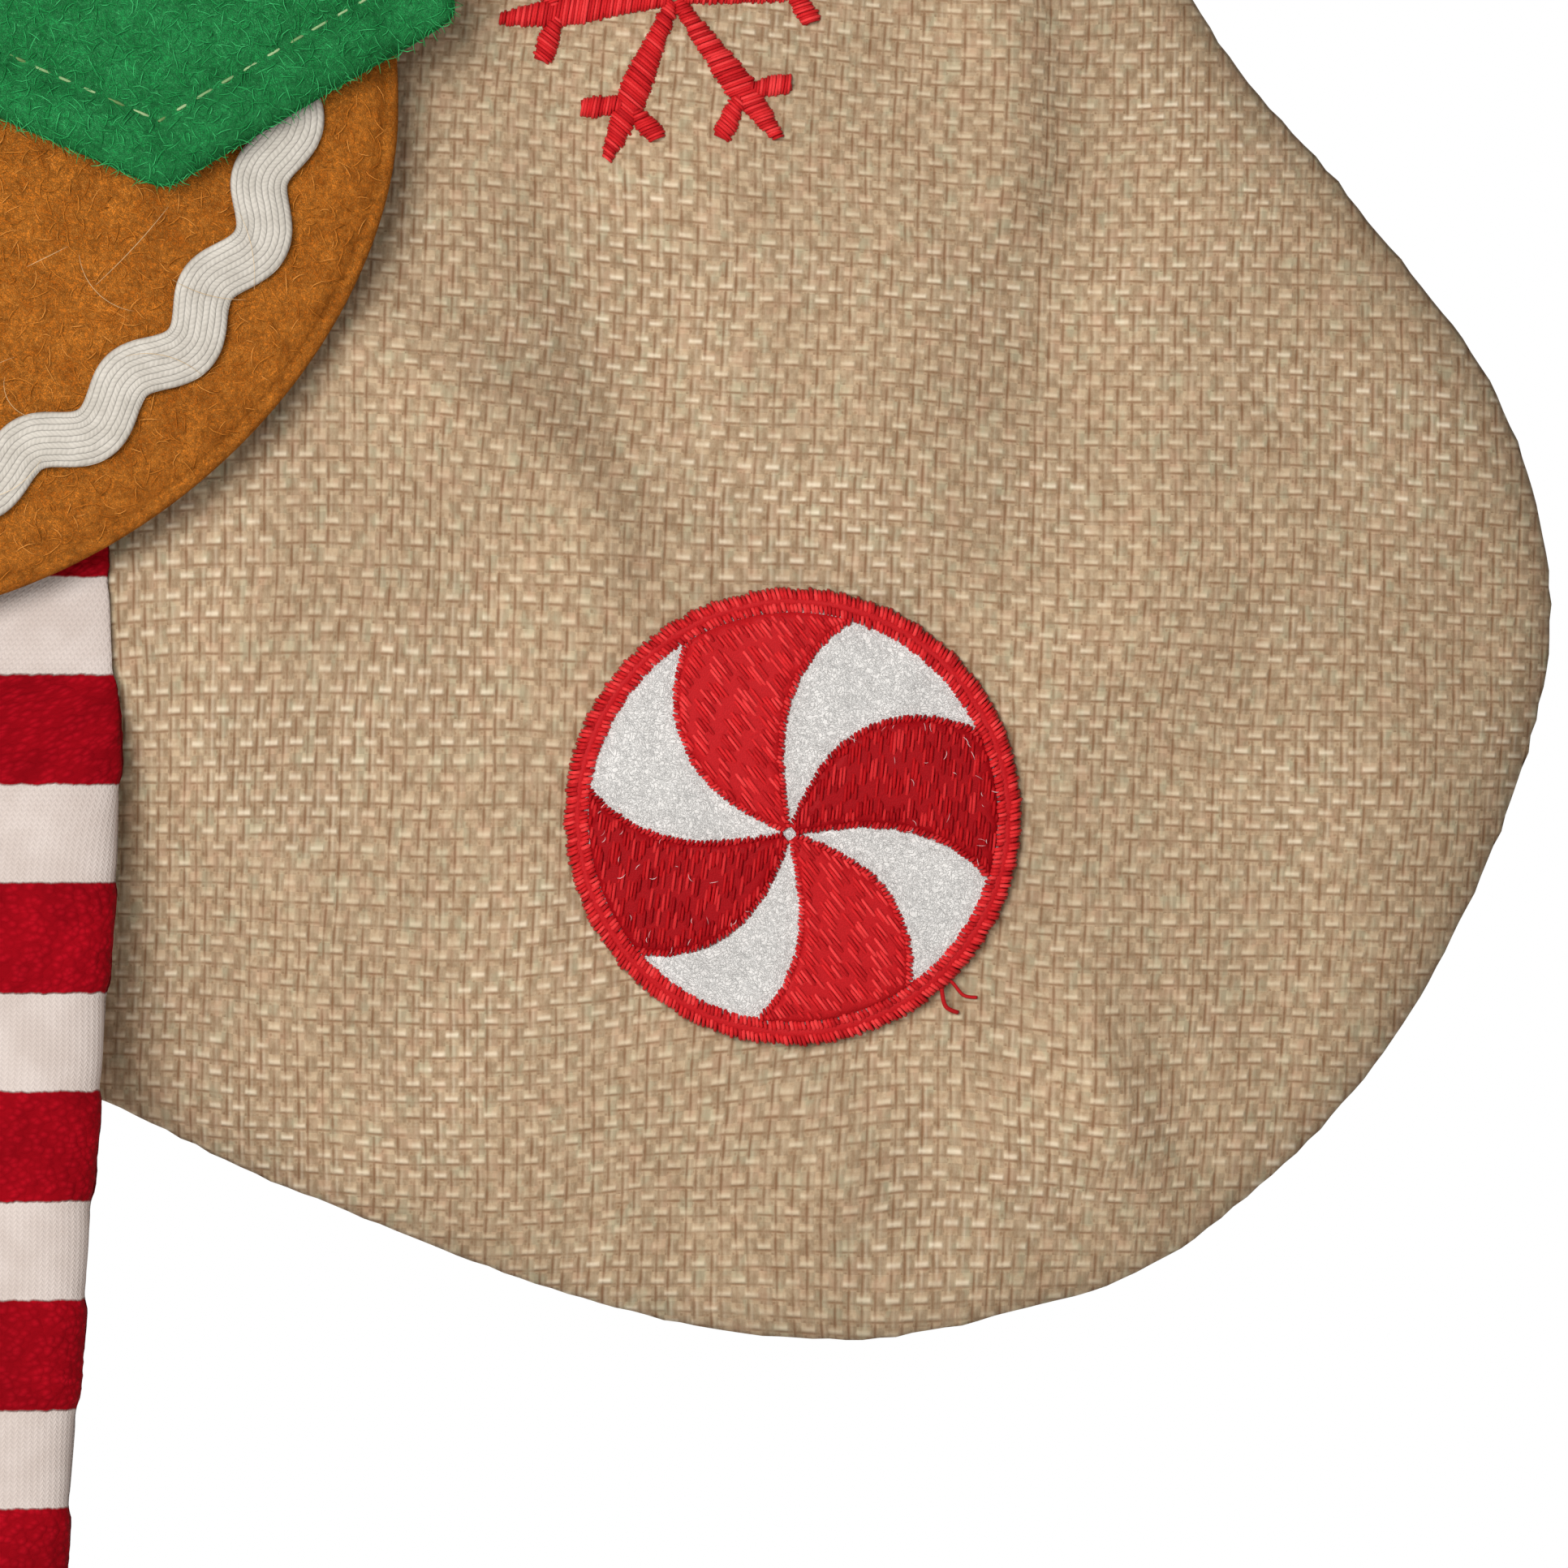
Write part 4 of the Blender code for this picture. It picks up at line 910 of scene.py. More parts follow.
def hanging_loop():
    """A doubled cotton tape: both ends go down into the corner of the cuff."""
    low, high = mm_box("hanging_loop")
    half = [(0.95, -64.0), (0.95, -50.0), (1.3, -43.5), (3.6, -32.0), (7.0, -19.0)]
    half += [(7.4, -10.0), (5.2, -2.4)]
    right = smooth_curve([*half, (0.0, 0.6), (-5.2, -2.4)], 10)[: 10 * len(half) + 1]
    path = even_line(np.vstack([right, right[-2::-1] * (-1.0, 1.0)]), 0.8)
    square = square_to(unit(np.gradient(path, axis=0)))
    wide, thick = (high[1] - low[1]) / 2, 0.55
    y, out = superellipse(wide, thick, 5.0, full_turn(28)).T
    run = run_length(path)
    wobble = 0.10 * np.sin(run * 0.35)
    spots = path[:, None] + square[:, None] * (out + wobble[:, None])[..., None]
    across, along = np.broadcast_arrays(y, run[:, None])
    points = np.stack([spots[..., 0], across, spots[..., 1]], -1).reshape(-1, 3)
    band = np.stack([across / wide, along], -1).reshape(-1, 2)
    net = tube(len(path), len(y))
    piece = add_mesh("tape_loop", points, net, TAPE, "cotton_tape", ["hanging_loop"], None, band=band)
    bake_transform(piece)


# ================================================================ embroidery


def tube_rings(lines, turns, radius):
    """Rings of points round 3-D lines of points."""
    along = np.gradient(lines, axis=-2)
    along /= np.linalg.norm(along, axis=-1, keepdims=True) + 1e-9
    side = np.cross(along, (0.0, -1.0, 0.0))
    side /= np.linalg.norm(side, axis=-1, keepdims=True) + 1e-9
    up = np.cross(side, along)
    ring = np.cos(turns)[:, None] * side[..., None, :] + np.sin(turns)[:, None] * up[..., None, :]
    return lines[..., None, :] + radius * ring


def threads(name, paths, radius, finish, slot, nodes=(), base=(), seed=1):
    """One piece from many thread tubes along rows of 3-D points, and strips under them in the thread's
    darkest tone: painted shade in the gaps between stitches.
    """
    rng, sides = np.random.default_rng(seed), 5
    parts, tone = [], []
    for path in paths:
        turns, own = rng.uniform(0, 2 * math.pi) + full_turn(sides), rng.uniform(0, 1)
        rings = tube_rings(path, turns, radius * rng.uniform(0.9, 1.12))
        parts.append((rings.reshape(-1, 3), tube(len(path), sides)))
        tone += [own] * (len(path) * sides)
    for strip in base:
        parts.append(strip)
        # Painted shade: the strips take the darkest tone, so the gaps between stitches look shaded.
        tone += [0.1] * len(strip[0])
    return add_mesh(name, *merged(parts), finish, slot, nodes, tone=tone)


def fibres(name, roots, surface, length, lift, finish, slot, seed, body="stocking", radius=0.055, steps=4):
    """Fine curved hairs that lie on a surface and stand a little out of it, as one piece."""
    rng = np.random.default_rng(seed)
    count, sides = len(roots), 3
    share = np.linspace(0, 1, steps)
    curl = rng.uniform(-1.7, 1.7, (count, 1)) * share
    angle = rng.uniform(0, 2 * math.pi, (count, 1)) + curl
    step = length * rng.uniform(0.45, 1.35, (count, 1)) / (steps - 1)
    run = np.cumsum(heading(angle) * step[..., None], 1)
    spots = roots[:, None] + run - run.mean(1, keepdims=True)
    rise = lift * rng.uniform(0.15, 1.0, (count, 1)) * np.sin(share * math.pi * 0.8) - 0.06
    line = surface(spots.reshape(-1, 2), rise.ravel()).reshape(count, steps, 3)
    thin = radius * (1.0 - 0.55 * np.abs(2 * share - 1) ** 2)[:, None, None]
    points = tube_rings(line, full_turn(sides), thin).reshape(-1, 3)
    one, size = tube(steps, sides), steps * sides
    faces = [face for hair in range(count) for face in shifted(one, hair * size)]
    tone = np.repeat(rng.uniform(0, 1, count), size)
    return add_mesh(name, points, faces, finish, slot, (), body, tone=tone)


def scatter(outline, spacing, seed):
    """Uneven spots all over the inside of an outline."""
    spots = hex_grid(outline.min(0), outline.max(0), spacing * COARSE, seed)
    spots = spots + np.random.default_rng(seed + 1).uniform(-0.45, 0.45, spots.shape) * spacing
    return spots[inside_outline(spots, outline)]


def satin_column(middle, half_width, pitch, lean, rng, ends=0.25):
    """Flat stitches across a column: each is a start and an end point."""
    run = run_length(middle)
    at = np.arange(pitch / 2, run[-1], pitch)
    spots, along = at_runs(middle, run, at), at_runs(unit(np.gradient(middle, axis=0)), run, at)
    across = square_to(along) * math.cos(lean) + along * math.sin(lean)
    wide = np.interp(at / run[-1], np.linspace(0, 1, len(half_width)), half_width)
    left, right = (wide + rng.uniform(-ends, ends, len(at)) * 0.5 for _ in range(2))
    drift = rng.uniform(-0.05, 0.05, (len(at), 2))
    return [(s - a * l + d, s + a * r + d) for s, a, l, r, d in zip(spots, across, left, right, drift)]


def stitches(ends, surface, crown, steps=6):
    """Paths of stitches that come up out of the cloth, lie over a low crown and go back down."""
    share = 0.5 - 0.5 * np.cos(np.linspace(0, 1, steps + 1) * math.pi)
    rise = crown * (1 - np.abs(2 * share - 1) ** 4) - 0.25
    return [surface(start + (end - start) * share[:, None], rise) for start, end in ends]


def ribbon(middle, half_width, surface, low, high):
    """A plain closed strip along a line, which fills the gaps under a row of stitches."""
    run, shares = run_length(middle), np.array([-1.0, -0.5, 0.0, 0.5, 1.0])
    wide = np.interp(run / run[-1], np.linspace(0, 1, len(half_width)), half_width)
    across = square_to(unit(np.gradient(middle, axis=0))) * wide[:, None]
    flat = np.vstack([middle + across * share for share in shares])
    rise = np.repeat(low + (high - low) * (1 - shares**4), len(middle))
    return between(surface(flat, rise), surface(flat, low - 0.2), strips(len(shares), len(middle)))


SNOWFLAKES = {
    "snowflake_right": (173.9, -383.8, 7.0),
    "snowflake_heel": (24.0, -424.0, 20.0),
    "snowflake_upper": (178.0, -228.0, 12.0),
}
SNOWFLAKE_ARM = 16.5


def snowflake_lines(turn):
    """Each satin column of a snowflake: a middle line and its half widths along it."""
    columns = []
    for k in range(6):
        angle = math.radians(turn - 60.0 * k)
        way = heading(angle)
        for side in (1.0, -1.0):
            branch = heading(angle + side * math.radians(62.0))
            root = way * SNOWFLAKE_ARM * 0.66 + branch * 0.7
            tip = root + branch * (3.9 + 0.5 * math.sin(k * 2.1 + side))
            columns.append((np.array([root, (root + tip) / 2, tip]), (0.6, 0.9, 1.05, 0.85)))
        middle = way * np.linspace(0.4, SNOWFLAKE_ARM, 8)[:, None]
        columns.append((middle, (0.7, 0.85, 1.0, 1.2, 1.45, 1.55, 1.3, 0.95, 0.5)))
    return columns


def snowflakes():
    for number, (name, (x, z, turn)) in enumerate(SNOWFLAKES.items()):
        rng, paths, base = np.random.default_rng(60 + number), [], []
        for middle, wide in snowflake_lines(turn):
            middle = even_line(middle + (x, z), 0.5)
            paths += stitches(satin_column(middle, wide, 0.30, 0.30, rng), panel_points, 0.95)
            base.append(ribbon(middle, np.array(wide) * 0.86, panel_points, 0.05, 0.62))
        threads(f"{name}_threads", paths, 0.17, RED_THREAD, "red_thread", [name], base, 70 + number)


# The left and right blades take the darker copy of the red thread: painted shade for the way their threads
# run.
SWIRL_BLADES = {
    "peppermint_blade_top": ((99.8, 20.5), (153.5, 30.0), -52.0, RED_THREAD),
    "peppermint_blade_left": ((190.5, 21.5), (249.5, 35.0), 82.0, SHADED_RED_THREAD),
    "peppermint_blade_bottom": ((283.5, 25.5), (339.0, 33.5), -52.0, RED_THREAD),
    "peppermint_blade_right": ((370.0, 21.0), (427.5, 34.5), 84.0, SHADED_RED_THREAD),
}
SWIRL_CENTRE = MINT + (-0.3, -1.6)
MINT_FELT = 18.8


def swirl_edge(start, twist, reach_to):
    """One curved blade edge, from near the swirl's centre out to a circle round the peppermint."""
    points = []
    for radius in np.arange(0.6, 26.0, 0.4):
        spot = SWIRL_CENTRE + radius * heading(math.radians(start - twist * (radius / MINT_FELT) ** 2))
        reach = np.linalg.norm(spot - MINT)
        if reach > reach_to:
            points.append(MINT + (spot - MINT) * reach_to / reach)
            break
        points.append(spot)
    return np.array(points)


def blade_outline(right, left, reach_to):
    """A blade's two edges, and its whole outline."""
    one, two = swirl_edge(*right, reach_to), swirl_edge(*left, reach_to)
    start, end = (math.atan2(*(p[-1] - MINT)[::-1]) for p in (one, two))
    turns = start + (end - start) % (2 * math.pi) * np.linspace(0, 1, 24)[1:-1]
    return one, two, np.vstack([one, MINT + reach_to * heading(turns), two[::-1]])


def fill_lines(outline, angle, pitch, rng):
    """Parallel runs of thread that fill an outline, as start and end points."""
    way, runs = heading(angle), []
    square = square_to(way)
    spots = np.column_stack([outline @ way, outline @ square])
    for row in np.arange(spots[:, 1].min() + pitch / 2, spots[:, 1].max(), pitch):
        cuts = []
        for (a, ha), (b, hb) in zip(spots, np.roll(spots, -1, axis=0)):
            if (ha > row) != (hb > row):
                cuts.append(a + (b - a) * (row - ha) / (hb - ha))
        cuts.sort()
        for low, high in zip(cuts[::2], cuts[1::2]):
            if high - low < 0.5:
                continue
            at, step = low, rng.uniform(1.2, 4.0)
            while at < high - 0.3:
                end = min(at + step, high)
                if high - end < 0.9:
                    end = high
                drift = rng.uniform(-0.08, 0.08)
                runs.append((way * at + square * row, way * end + square * (row + drift)))
                at, step = end - 0.05, rng.uniform(3.0, 4.4)
    return runs


def mint_ring():
    """The peppermint's border: two rows of stitches, and two loose thread ends."""
    rng, paths = np.random.default_rng(81), []
    for inner, outer, crown in ((19.1, 20.35, 2.05), (20.25, 21.55, 1.95)):
        ends, count = [], int(2 * math.pi * (inner + outer) / 2 / 0.40)
        for k in range(count):
            turn = 2 * math.pi * (k + rng.uniform(-0.15, 0.15)) / count
            start = MINT + (inner + rng.uniform(-0.12, 0.12)) * heading(turn)
            ends.append((start, MINT + (outer + rng.uniform(-0.16, 0.16)) * heading(turn + 0.018)))
        paths += stitches(ends, panel_points, crown, 5)
    for stray, start, end in (
        ([(202.6, -478.6), (201.3, -478.3), (200.2, -477.0), (199.0, -476.2)], 0.25, 1.5),
        ([(199.2, -477.5), (199.6, -479.3), (200.8, -480.0)], 1.3, 0.25),
    ):
        line = smooth_curve(stray, 5)
        paths.append(panel_points(line, np.linspace(start, end, len(line))))
    base = [ribbon(closed(circle(MINT, 20.3, 160)), (1.05, 1.05), panel_points, 0.5, 1.7)]
    threads("peppermint_ring", paths, 0.20, RED_THREAD, "red_thread", ["peppermint_border"], base, 82)


def peppermint():
    flat, faces, _ = soft_net(circle(MINT, MINT_FELT + 1.6, 160), 0.8 * COARSE, (0.3, 0.8))
    bumpy = 0.10 * value_noise(*flat.T, 1.6, 51) + 0.16 * value_noise(*flat.T, 4.5, 52)
    solid = between(panel_points(flat, 1.35 + bumpy), panel_points(flat, 0.45), faces)
    add_mesh("peppermint_white", *solid, WHITE_FELT, "white_felt", ["peppermint_felt"])
    mint_ring()

    def over_fill(where, off):
        return panel_points(where, 2.2 + off)

    for number, (name, (right, left, angle, finish)) in enumerate(SWIRL_BLADES.items()):
        rng = np.random.default_rng(90 + number)
        one, two, outline = blade_outline(right, left, MINT_FELT + 0.5)
        paths = stitches(fill_lines(outline, math.radians(angle), 0.32, rng), panel_points, 2.05, 5)
        for edge in (one, two):
            ends = satin_column(even_line(edge, 0.3), (0.30, 0.42, 0.45, 0.45), 0.40, 0.5, rng, 0.2)
            paths += stitches(ends, panel_points, 2.15, 4)
        flat, faces = flat_net(outline, grid_inside(outline, 1.2, 0.5))
        base = [between(panel_points(flat, 1.62), panel_points(flat, 1.2), faces)]
        if finish is SHADED_RED_THREAD:
            rim = outline[np.linalg.norm(outline - MINT, axis=1) > 9.0]
            spots = MINT + (rim - MINT) * 0.93
            spots = spots[rng.uniform(0, 1, len(spots)) < 0.14]
            flecks, look = np.vstack([spots, scatter(rim, 3.4, 120 + number)]), (WHITE_THREAD, "white_felt")
            fibres(f"{name}_flecks", flecks, over_fill, 0.7, 0.15, *look, 130 + number, radius=0.04)
        threads(f"{name}_threads", paths, 0.17, finish, "red_thread", [name], base, 95 + number)


# ================================================================ the gingerbread figure


def body_outline():
    """The round belly, and shoulders that draw in to the neck."""
    belly = superellipse(BODY_HALF_WIDTH, BODY_DROP, BODY_POWER, np.linspace(0, -math.pi, 240))
    side = [(-51.0, 0.0), (-50.0, 14.0), (-46.5, 34.0), (-40.0, 52.0), (-26.0, 61.0), (0.0, 63.0)]
    left = smooth_curve([(-49.5, -12.0), *side, (26.0, 61.0)], 16)[16:-16]
    right = left[-2::-1] * (-1.0, 1.0)
    return even_rim(np.vstack([belly, left[1:], right[:-1]]) + (FIGURE_X, BODY_WIDEST_Z), 300)


def pad_wave(flat, share, seed):
    """The slight unevenness of a stuffed felt face."""
    return 0.40 * value_noise(*flat.T, 16.0, seed + 2) * np.clip((1 - share) * 5, 0, 1)


def pad_face(rim, centre, foot, crown, seed=None):
    """A function that says how far a pad's front stands off at flat points."""

    def off(flat):
        share = radial_share(flat, rim, centre)
        return foot + crown * dome(share) + (0.0 if seed is None else pad_wave(flat, share, seed))

    return off


PAD_SEED = 11
BODY_RIM, BODY_CENTRE = body_outline(), np.array([FIGURE_X, BODY_WIDEST_Z + 8.0])
HEAD_CENTRE = np.array([FIGURE_X, HEAD_Z])
HEAD_RIM = even_rim(superellipse(*HEAD_HALF, HEAD_POWER, full_turn(1200)) + HEAD_CENTRE, 300)
on_body = pad_face(BODY_RIM, BODY_CENTRE, PAD_FOOT, BODY_CROWN, PAD_SEED)
on_head = pad_face(HEAD_RIM, HEAD_CENTRE, PAD_FOOT, HEAD_CROWN, PAD_SEED)


def stuffed_pad(
    name, nodes, rim, centre, foot, crown, back, edge, seed, ground=figure_points, body="stocking"
):
    """A stuffed felt pad with a rounded, slightly puckered seam edge; back gives its back's offset."""
    out = -inward(rim)
    pinned = rim - out * edge
    shares = (1 - np.linspace(0, 1, int(44 / COARSE)) ** 1.6)[:-1]
    flat, faces, share = star_net(pinned, centre, shares)
    count, run = len(rim), np.arange(len(rim)) / len(rim) * 190.0
    pucker = value_noise(run, run * 0, 3.1, seed) * 0.28 + value_noise(run, run * 0, 8.0, seed + 1) * 0.4
    from_rim = 1 - share[:-1]
    low, high = back(share), foot + crown * dome(share) + pad_wave(flat, share, seed)
    high[:-1] += np.tile(pucker, len(shares)) * np.exp(-from_rim * 14.0) * np.clip(from_rim * 60.0, 0.3, 1)
    middle, half = (low + high)[:count] / 2, (high - low)[:count] / 2
    turns = np.linspace(0, math.pi, 9)[1:-1]
    roll = [ground(pinned + out * (edge * math.sin(t)), middle + half * math.cos(t)) for t in turns]
    points = np.vstack([ground(flat, high), *roll, ground(flat, low)])
    starts = [0, *(len(flat) + count * k for k in range(len(turns) + 1))]
    solid = [*faces, *shifted(faces, starts[-1], flip=True)]
    for a, b in zip(starts, starts[1:]):
        solid += [(a + (i + 1) % count, a + i, b + i, b + (i + 1) % count) for i in range(count)]
    piece = add_mesh(name, points, solid, BROWN_FELT, "brown_felt", nodes, body)
    face = pad_face(pinned, centre, foot, crown, seed)

    def over_face(spots, off):
        return ground(spots, face(spots) + off)

    roots = scatter(pinned, 1.45, seed + 40)
    fibres(f"{name}_fibres", roots, over_face, 2.0, 0.5, BROWN_FIBRE, "brown_felt", seed + 50, body)


def pads():
    def back(share):
        return 0.5 + 5.0 * share**2

    for part, rim, centre, crown in (
        ("body", BODY_RIM, BODY_CENTRE, BODY_CROWN),
        ("head", HEAD_RIM, HEAD_CENTRE, HEAD_CROWN),
    ):
        nodes = [f"{part}_front", f"{part}_back", f"{part}_stuffing"]
        stuffed_pad(f"felt_{part}", nodes, rim, centre, PAD_FOOT, crown, back, 1.3, PAD_SEED)


# ---------------------------------------------------------------- rickrack


def rickrack(
    name, node, path, face, half_width, wave, period, phase=0.0, ground=figure_points, body="stocking"
):
    """Woven zigzag braid that lies on a face; its ribs follow the wave."""
    path = even_line(path, 0.32 * COARSE)
    run, along = run_length(path), np.gradient(path, axis=0)
    if np.allclose(path[0], path[-1]):
        period = run[-1] / round(run[-1] / period)
        along[[0, -1]] = path[1] - path[-2]
    along = unit(along)
    across = square_to(along)
    turn = 2 * math.pi * run / period
    middle = path + across * (wave * np.sin(turn + phase))[:, None]
    tilt = np.arctan(wave * 2 * math.pi / period * np.cos(turn + phase)) * 0.55
    across = across * np.cos(tilt)[:, None] - along * np.sin(tilt)[:, None]
    shares = np.sin(np.linspace(-math.pi / 2, math.pi / 2, 15))
    flat = np.vstack([middle + across * (half_width * s) for s in shares])
    curl = 0.18 * np.sin(turn * 2 + phase + 0.7)
    tops = [0.55 + 0.42 * math.sqrt(max(0.0, 1 - abs(s) ** 5)) + curl * s for s in shares]
    base, net = face(flat), strips(len(shares), len(path))
    solid = between(ground(flat, base + np.concatenate(tops)), ground(flat, base + 0.42), net)
    band = np.column_stack([np.repeat(shares, len(path)), np.tile(run, len(shares))])
    add_mesh(name, *solid, RICKRACK, "rickrack", [node], body, band=np.vstack([band, band]))


def icing_trims():
    for part, rim, face, phase in (("body", BODY_RIM, on_body, 0.45), ("head", HEAD_RIM, on_head, 0.0)):
        row = inner_rows(rim, [10.5])
        row = even_line(np.roll(row, -(len(row) + 1) // 3, axis=0), 1.0)
        row = closed(smooth_curve(even_line(closed(row), 6.0)[:-1], 8, closed=True))
        rickrack(f"{part}_icing", f"{part}_rickrack", row, face, 2.65, 1.15, 11.5, phase)


def stray_hairs():
    """A few long pale hairs that cling to the felt and the braid."""

    def over_braid(flat, off):
        return figure_points(flat, on_body(flat) + 1.0 + off)

    low = BODY_RIM[BODY_RIM[:, 1] < BODY_WIDEST_Z]
    spots = scatter(BODY_CENTRE + (low - BODY_CENTRE) * 0.88, 9.0, 110)
    fibres("stray_hairs", spots, over_braid, 8.0, 0.8, PALE_FIBRE, "brown_felt", 112, radius=0.035, steps=12)


# ---------------------------------------------------------------- vest

SEWN_IN = 5.7
STITCH, PITCH = 1.95, 2.5


def vest_outline(side):
    half = [(0.4, -5.6), (14.4, -12.4), (29.6, -19.0), (42.6, -11.0), (56.8, -2.4), (54.0, 10.0)]
    half += [(50.0, 22.0), (42.5, 30.0), (38.5, 42.0), (26.0, 48.0), (13.0, 48.0), (6.5, 38.0), (0.4, 30.0)]
    line = even_line(closed(on_side(side, half)), 0.6)[:-1]
    for _ in range(5):
        line = (np.roll(line, 1, axis=0) + 2 * line + np.roll(line, -1, axis=0)) / 4
    return line


def vest_base(flat):
    return on_body(flat) + 1.8


def vest_rise(flat, depth):
    """The felt's height over the vest's base, from its rounded edge over the sewn line and in."""
    x, z = flat.T
    groove = 0.75 * np.exp(-(((depth - SEWN_IN) / 0.8) ** 2))
    inner_drop = 0.55 * np.clip((depth - 4.2) / 2.0, 0, 1)
    swell = 0.80 * np.exp(-(((depth - 2.8) / 1.7) ** 2))
    lumps = 0.28 * value_noise(x, z, 9.0, 61) + 0.12 * value_noise(x, z, 3.4, 62)
    lumps *= 1 - 0.95 * np.exp(-(((depth - SEWN_IN) / 1.5) ** 2))
    ragged = 0.12 * value_noise(x * 1.3, z * 1.3, 1.7, 63) * np.exp(-depth)
    inside = (swell - inner_drop - groove + lumps) * np.clip(depth / 1.5, 0, 1)
    return 0.35 + 2.25 * round_edge(depth, 1.5) + inside + ragged


def topstitch(outline):
    """Stitches in a groove along a vest front's edge."""
    row = inner_rows(outline, [SEWN_IN])
    row = row[np.concatenate([[True], np.linalg.norm(np.diff(row, axis=0), axis=1) > 0.05])]
    row = even_line(closed(row), 0.5)
    run, stitched = run_length(row), []
    sunk = 0.12 - 0.34 * np.abs(np.linspace(-1, 1, 7)) ** 3
    for at in np.arange(0.0, run[-1] - 2.4, PITCH):
        spot = at_runs(row, run, np.linspace(at, at + STITCH, 7))
        stitched.append(figure_points(spot, vest_base(spot) + vest_rise(spot, SEWN_IN) + sunk))
    return stitched


def vest():
    for name, side in (("vest_right", 1.0), ("vest_left", -1.0)):
        outline = vest_outline(side)
        flat, faces, depth = soft_net(outline, 0.95 * COARSE, (0.12, 0.4, 0.85, 1.5))
        base = vest_base(flat)
        top = figure_points(flat, base + vest_rise(flat, depth))
        under = figure_points(flat, base + 0.35 - 0.35 * round_edge(depth, 1.0))
        piece = add_mesh(f"felt_{name}", *between(top, under, faces), GREEN_FELT, "green_felt", [name])
        seam = threads(f"{name}_topstitch", topstitch(outline), 0.15, CREAM_THREAD, "green_felt", seed=64)

        def face_at(spots, off, outline=outline):
            deep = line_distance(spots, closed(outline))[0] * inside_outline(spots, outline)
            lifted = 0.9 * (deep == 0.0) + off
            return figure_points(spots, vest_base(spots) + vest_rise(spots, deep) + lifted)

        roots = np.vstack([scatter(outline, 0.95, 65), even_line(closed(outline), 0.40)])
        fuzz = fibres(f"{name}_fibres", roots, face_at, 1.7, 0.40, GREEN_FIBRE, "green_felt", 66)
        cut, area, with_pieces = (0.0565, 0.0690), outline_area(outline), [seam, fuzz]
        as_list(with_pieces)


# ---------------------------------------------------------------- buttons, bow and face


def dome_piece(name, node, outline, centre, low, high, finish, slot, power=2.0):
    """A small rounded piece on the figure's front: low is its foot and high its crown."""
    scales = np.cos(np.linspace(0, math.pi / 2, 12)[:-1]) ** 0.9
    flat, faces, share = star_net(outline, centre, scales)
    rise = np.clip(1 - share**power, 0, 1) ** 0.5
    solid = between(figure_points(flat, low + (high - low) * rise), figure_points(flat, low - 0.3), faces)
    add_mesh(name, *solid, finish, slot, [node])


def buttons():
    for name, z in (("button_lower", 8.0), ("button_upper", 25.0)):
        spot = np.array([FIGURE_X, VEST_BASE_Z + z])
        low = float(vest_base(spot[None])[0]) + 2.6
        rim = circle(spot, 4.5, 64)
        dome_piece(f"felt_{name}", name, rim, spot, low, low + 2.4, RED_FELT, "red_felt", 3.0)


def bow():
    """A soft felt bow: two wings gathered under a knot."""
    centre = np.array([FIGURE_X, VEST_BASE_Z + 52.5])
    wing = [(0.0, 3.0), (7.0, 6.0), (18.0, 9.5), (22.0, 6.0), (22.5, 0.0)]
    right = wing + [(x, -z) for x, z in reversed(wing[:-1])]
    outline = right + [(-x, z) for x, z in reversed(right[1:-1])]
    outline = smooth_curve(np.array(outline) + centre, 6, closed=True)
    flat, faces, depth = soft_net(outline, 0.7 * COARSE, (0.15, 0.5, 1.0, 1.7))
    x, z = (flat - centre).T
    folds = 0.55 * np.cos(np.arctan2(z, np.abs(x) + 2.0) * 17.0) * np.exp(-np.abs(x) / 9.0)
    puff = 2.4 * round_edge(depth, 4.0) * (0.35 + 0.65 * np.clip(np.abs(x) / 9.0, 0, 1))
    top = figure_points(flat, 17.2 + puff + folds * np.clip(depth / 1.5, 0, 1))
    under = figure_points(flat, 16.6 - 0.4 * round_edge(depth, 1.2))
    piece = add_mesh("felt_bow", *between(top, under, faces), RED_FELT, "red_felt", ["bow_tie"])
    knot = superellipse(5.0, 6.5, 3.0, full_turn(72)) + centre
    dome_piece("felt_knot", "bow_knot", knot, centre, 18.2, 21.9, RED_FELT, "red_felt", 3.0)


def face():
    """A plain gingerbread face: two bead eyes, felt cheeks and a stitched smile."""
    for side, sign in (("right", 1.0), ("left", -1.0)):
        spot = HEAD_CENTRE + (sign * 19.0, 9.0)
        low = float(on_head(spot[None])[0])
        rim = circle(spot, 4.6, 72)
        dome_piece(f"bead_{side}", f"eye_{side}", rim, spot, low, low + 3.4, BEAD, "black_plastic")
        turns = full_turn(120)
        radius = 7.0 + 0.10 * np.sin(turns * 23) + 0.08 * np.sin(turns * 41 + 1)
        rim = HEAD_CENTRE + (sign * 32.0, -11.0) + radius[:, None] * heading(turns)
        flat, faces, depth = soft_net(rim, 0.6 * COARSE, (0.15, 0.45))
        base = on_head(flat) + 0.3
        near = figure_points(flat, base + 0.25 + 1.0 * round_edge(depth, 0.6))
        solid = between(near, figure_points(flat, base), faces)
        add_mesh(f"felt_cheek_{side}", *solid, PINK_FELT, "pink_felt", [f"cheek_{side}"])
    line = HEAD_CENTRE + (0.0, 1.0) + 18.0 * heading(np.radians(np.linspace(-142.0, -38.0, 60)))

    def over_head(flat, off):
        return figure_points(flat, on_head(flat) + off)

    ends = satin_column(line, (0.75, 1.1, 1.1, 1.1, 0.75), 0.36, 0.15, np.random.default_rng(101))
    base = [ribbon(line, (0.6, 0.95, 0.95, 0.6), over_head, 0.0, 0.75)]
    paths = stitches(ends, over_head, 1.0)
    threads("smile_threads", paths, 0.20, DARK_THREAD, "black_thread", ["mouth"], base, 102)


# ---------------------------------------------------------------- arms, legs and feet

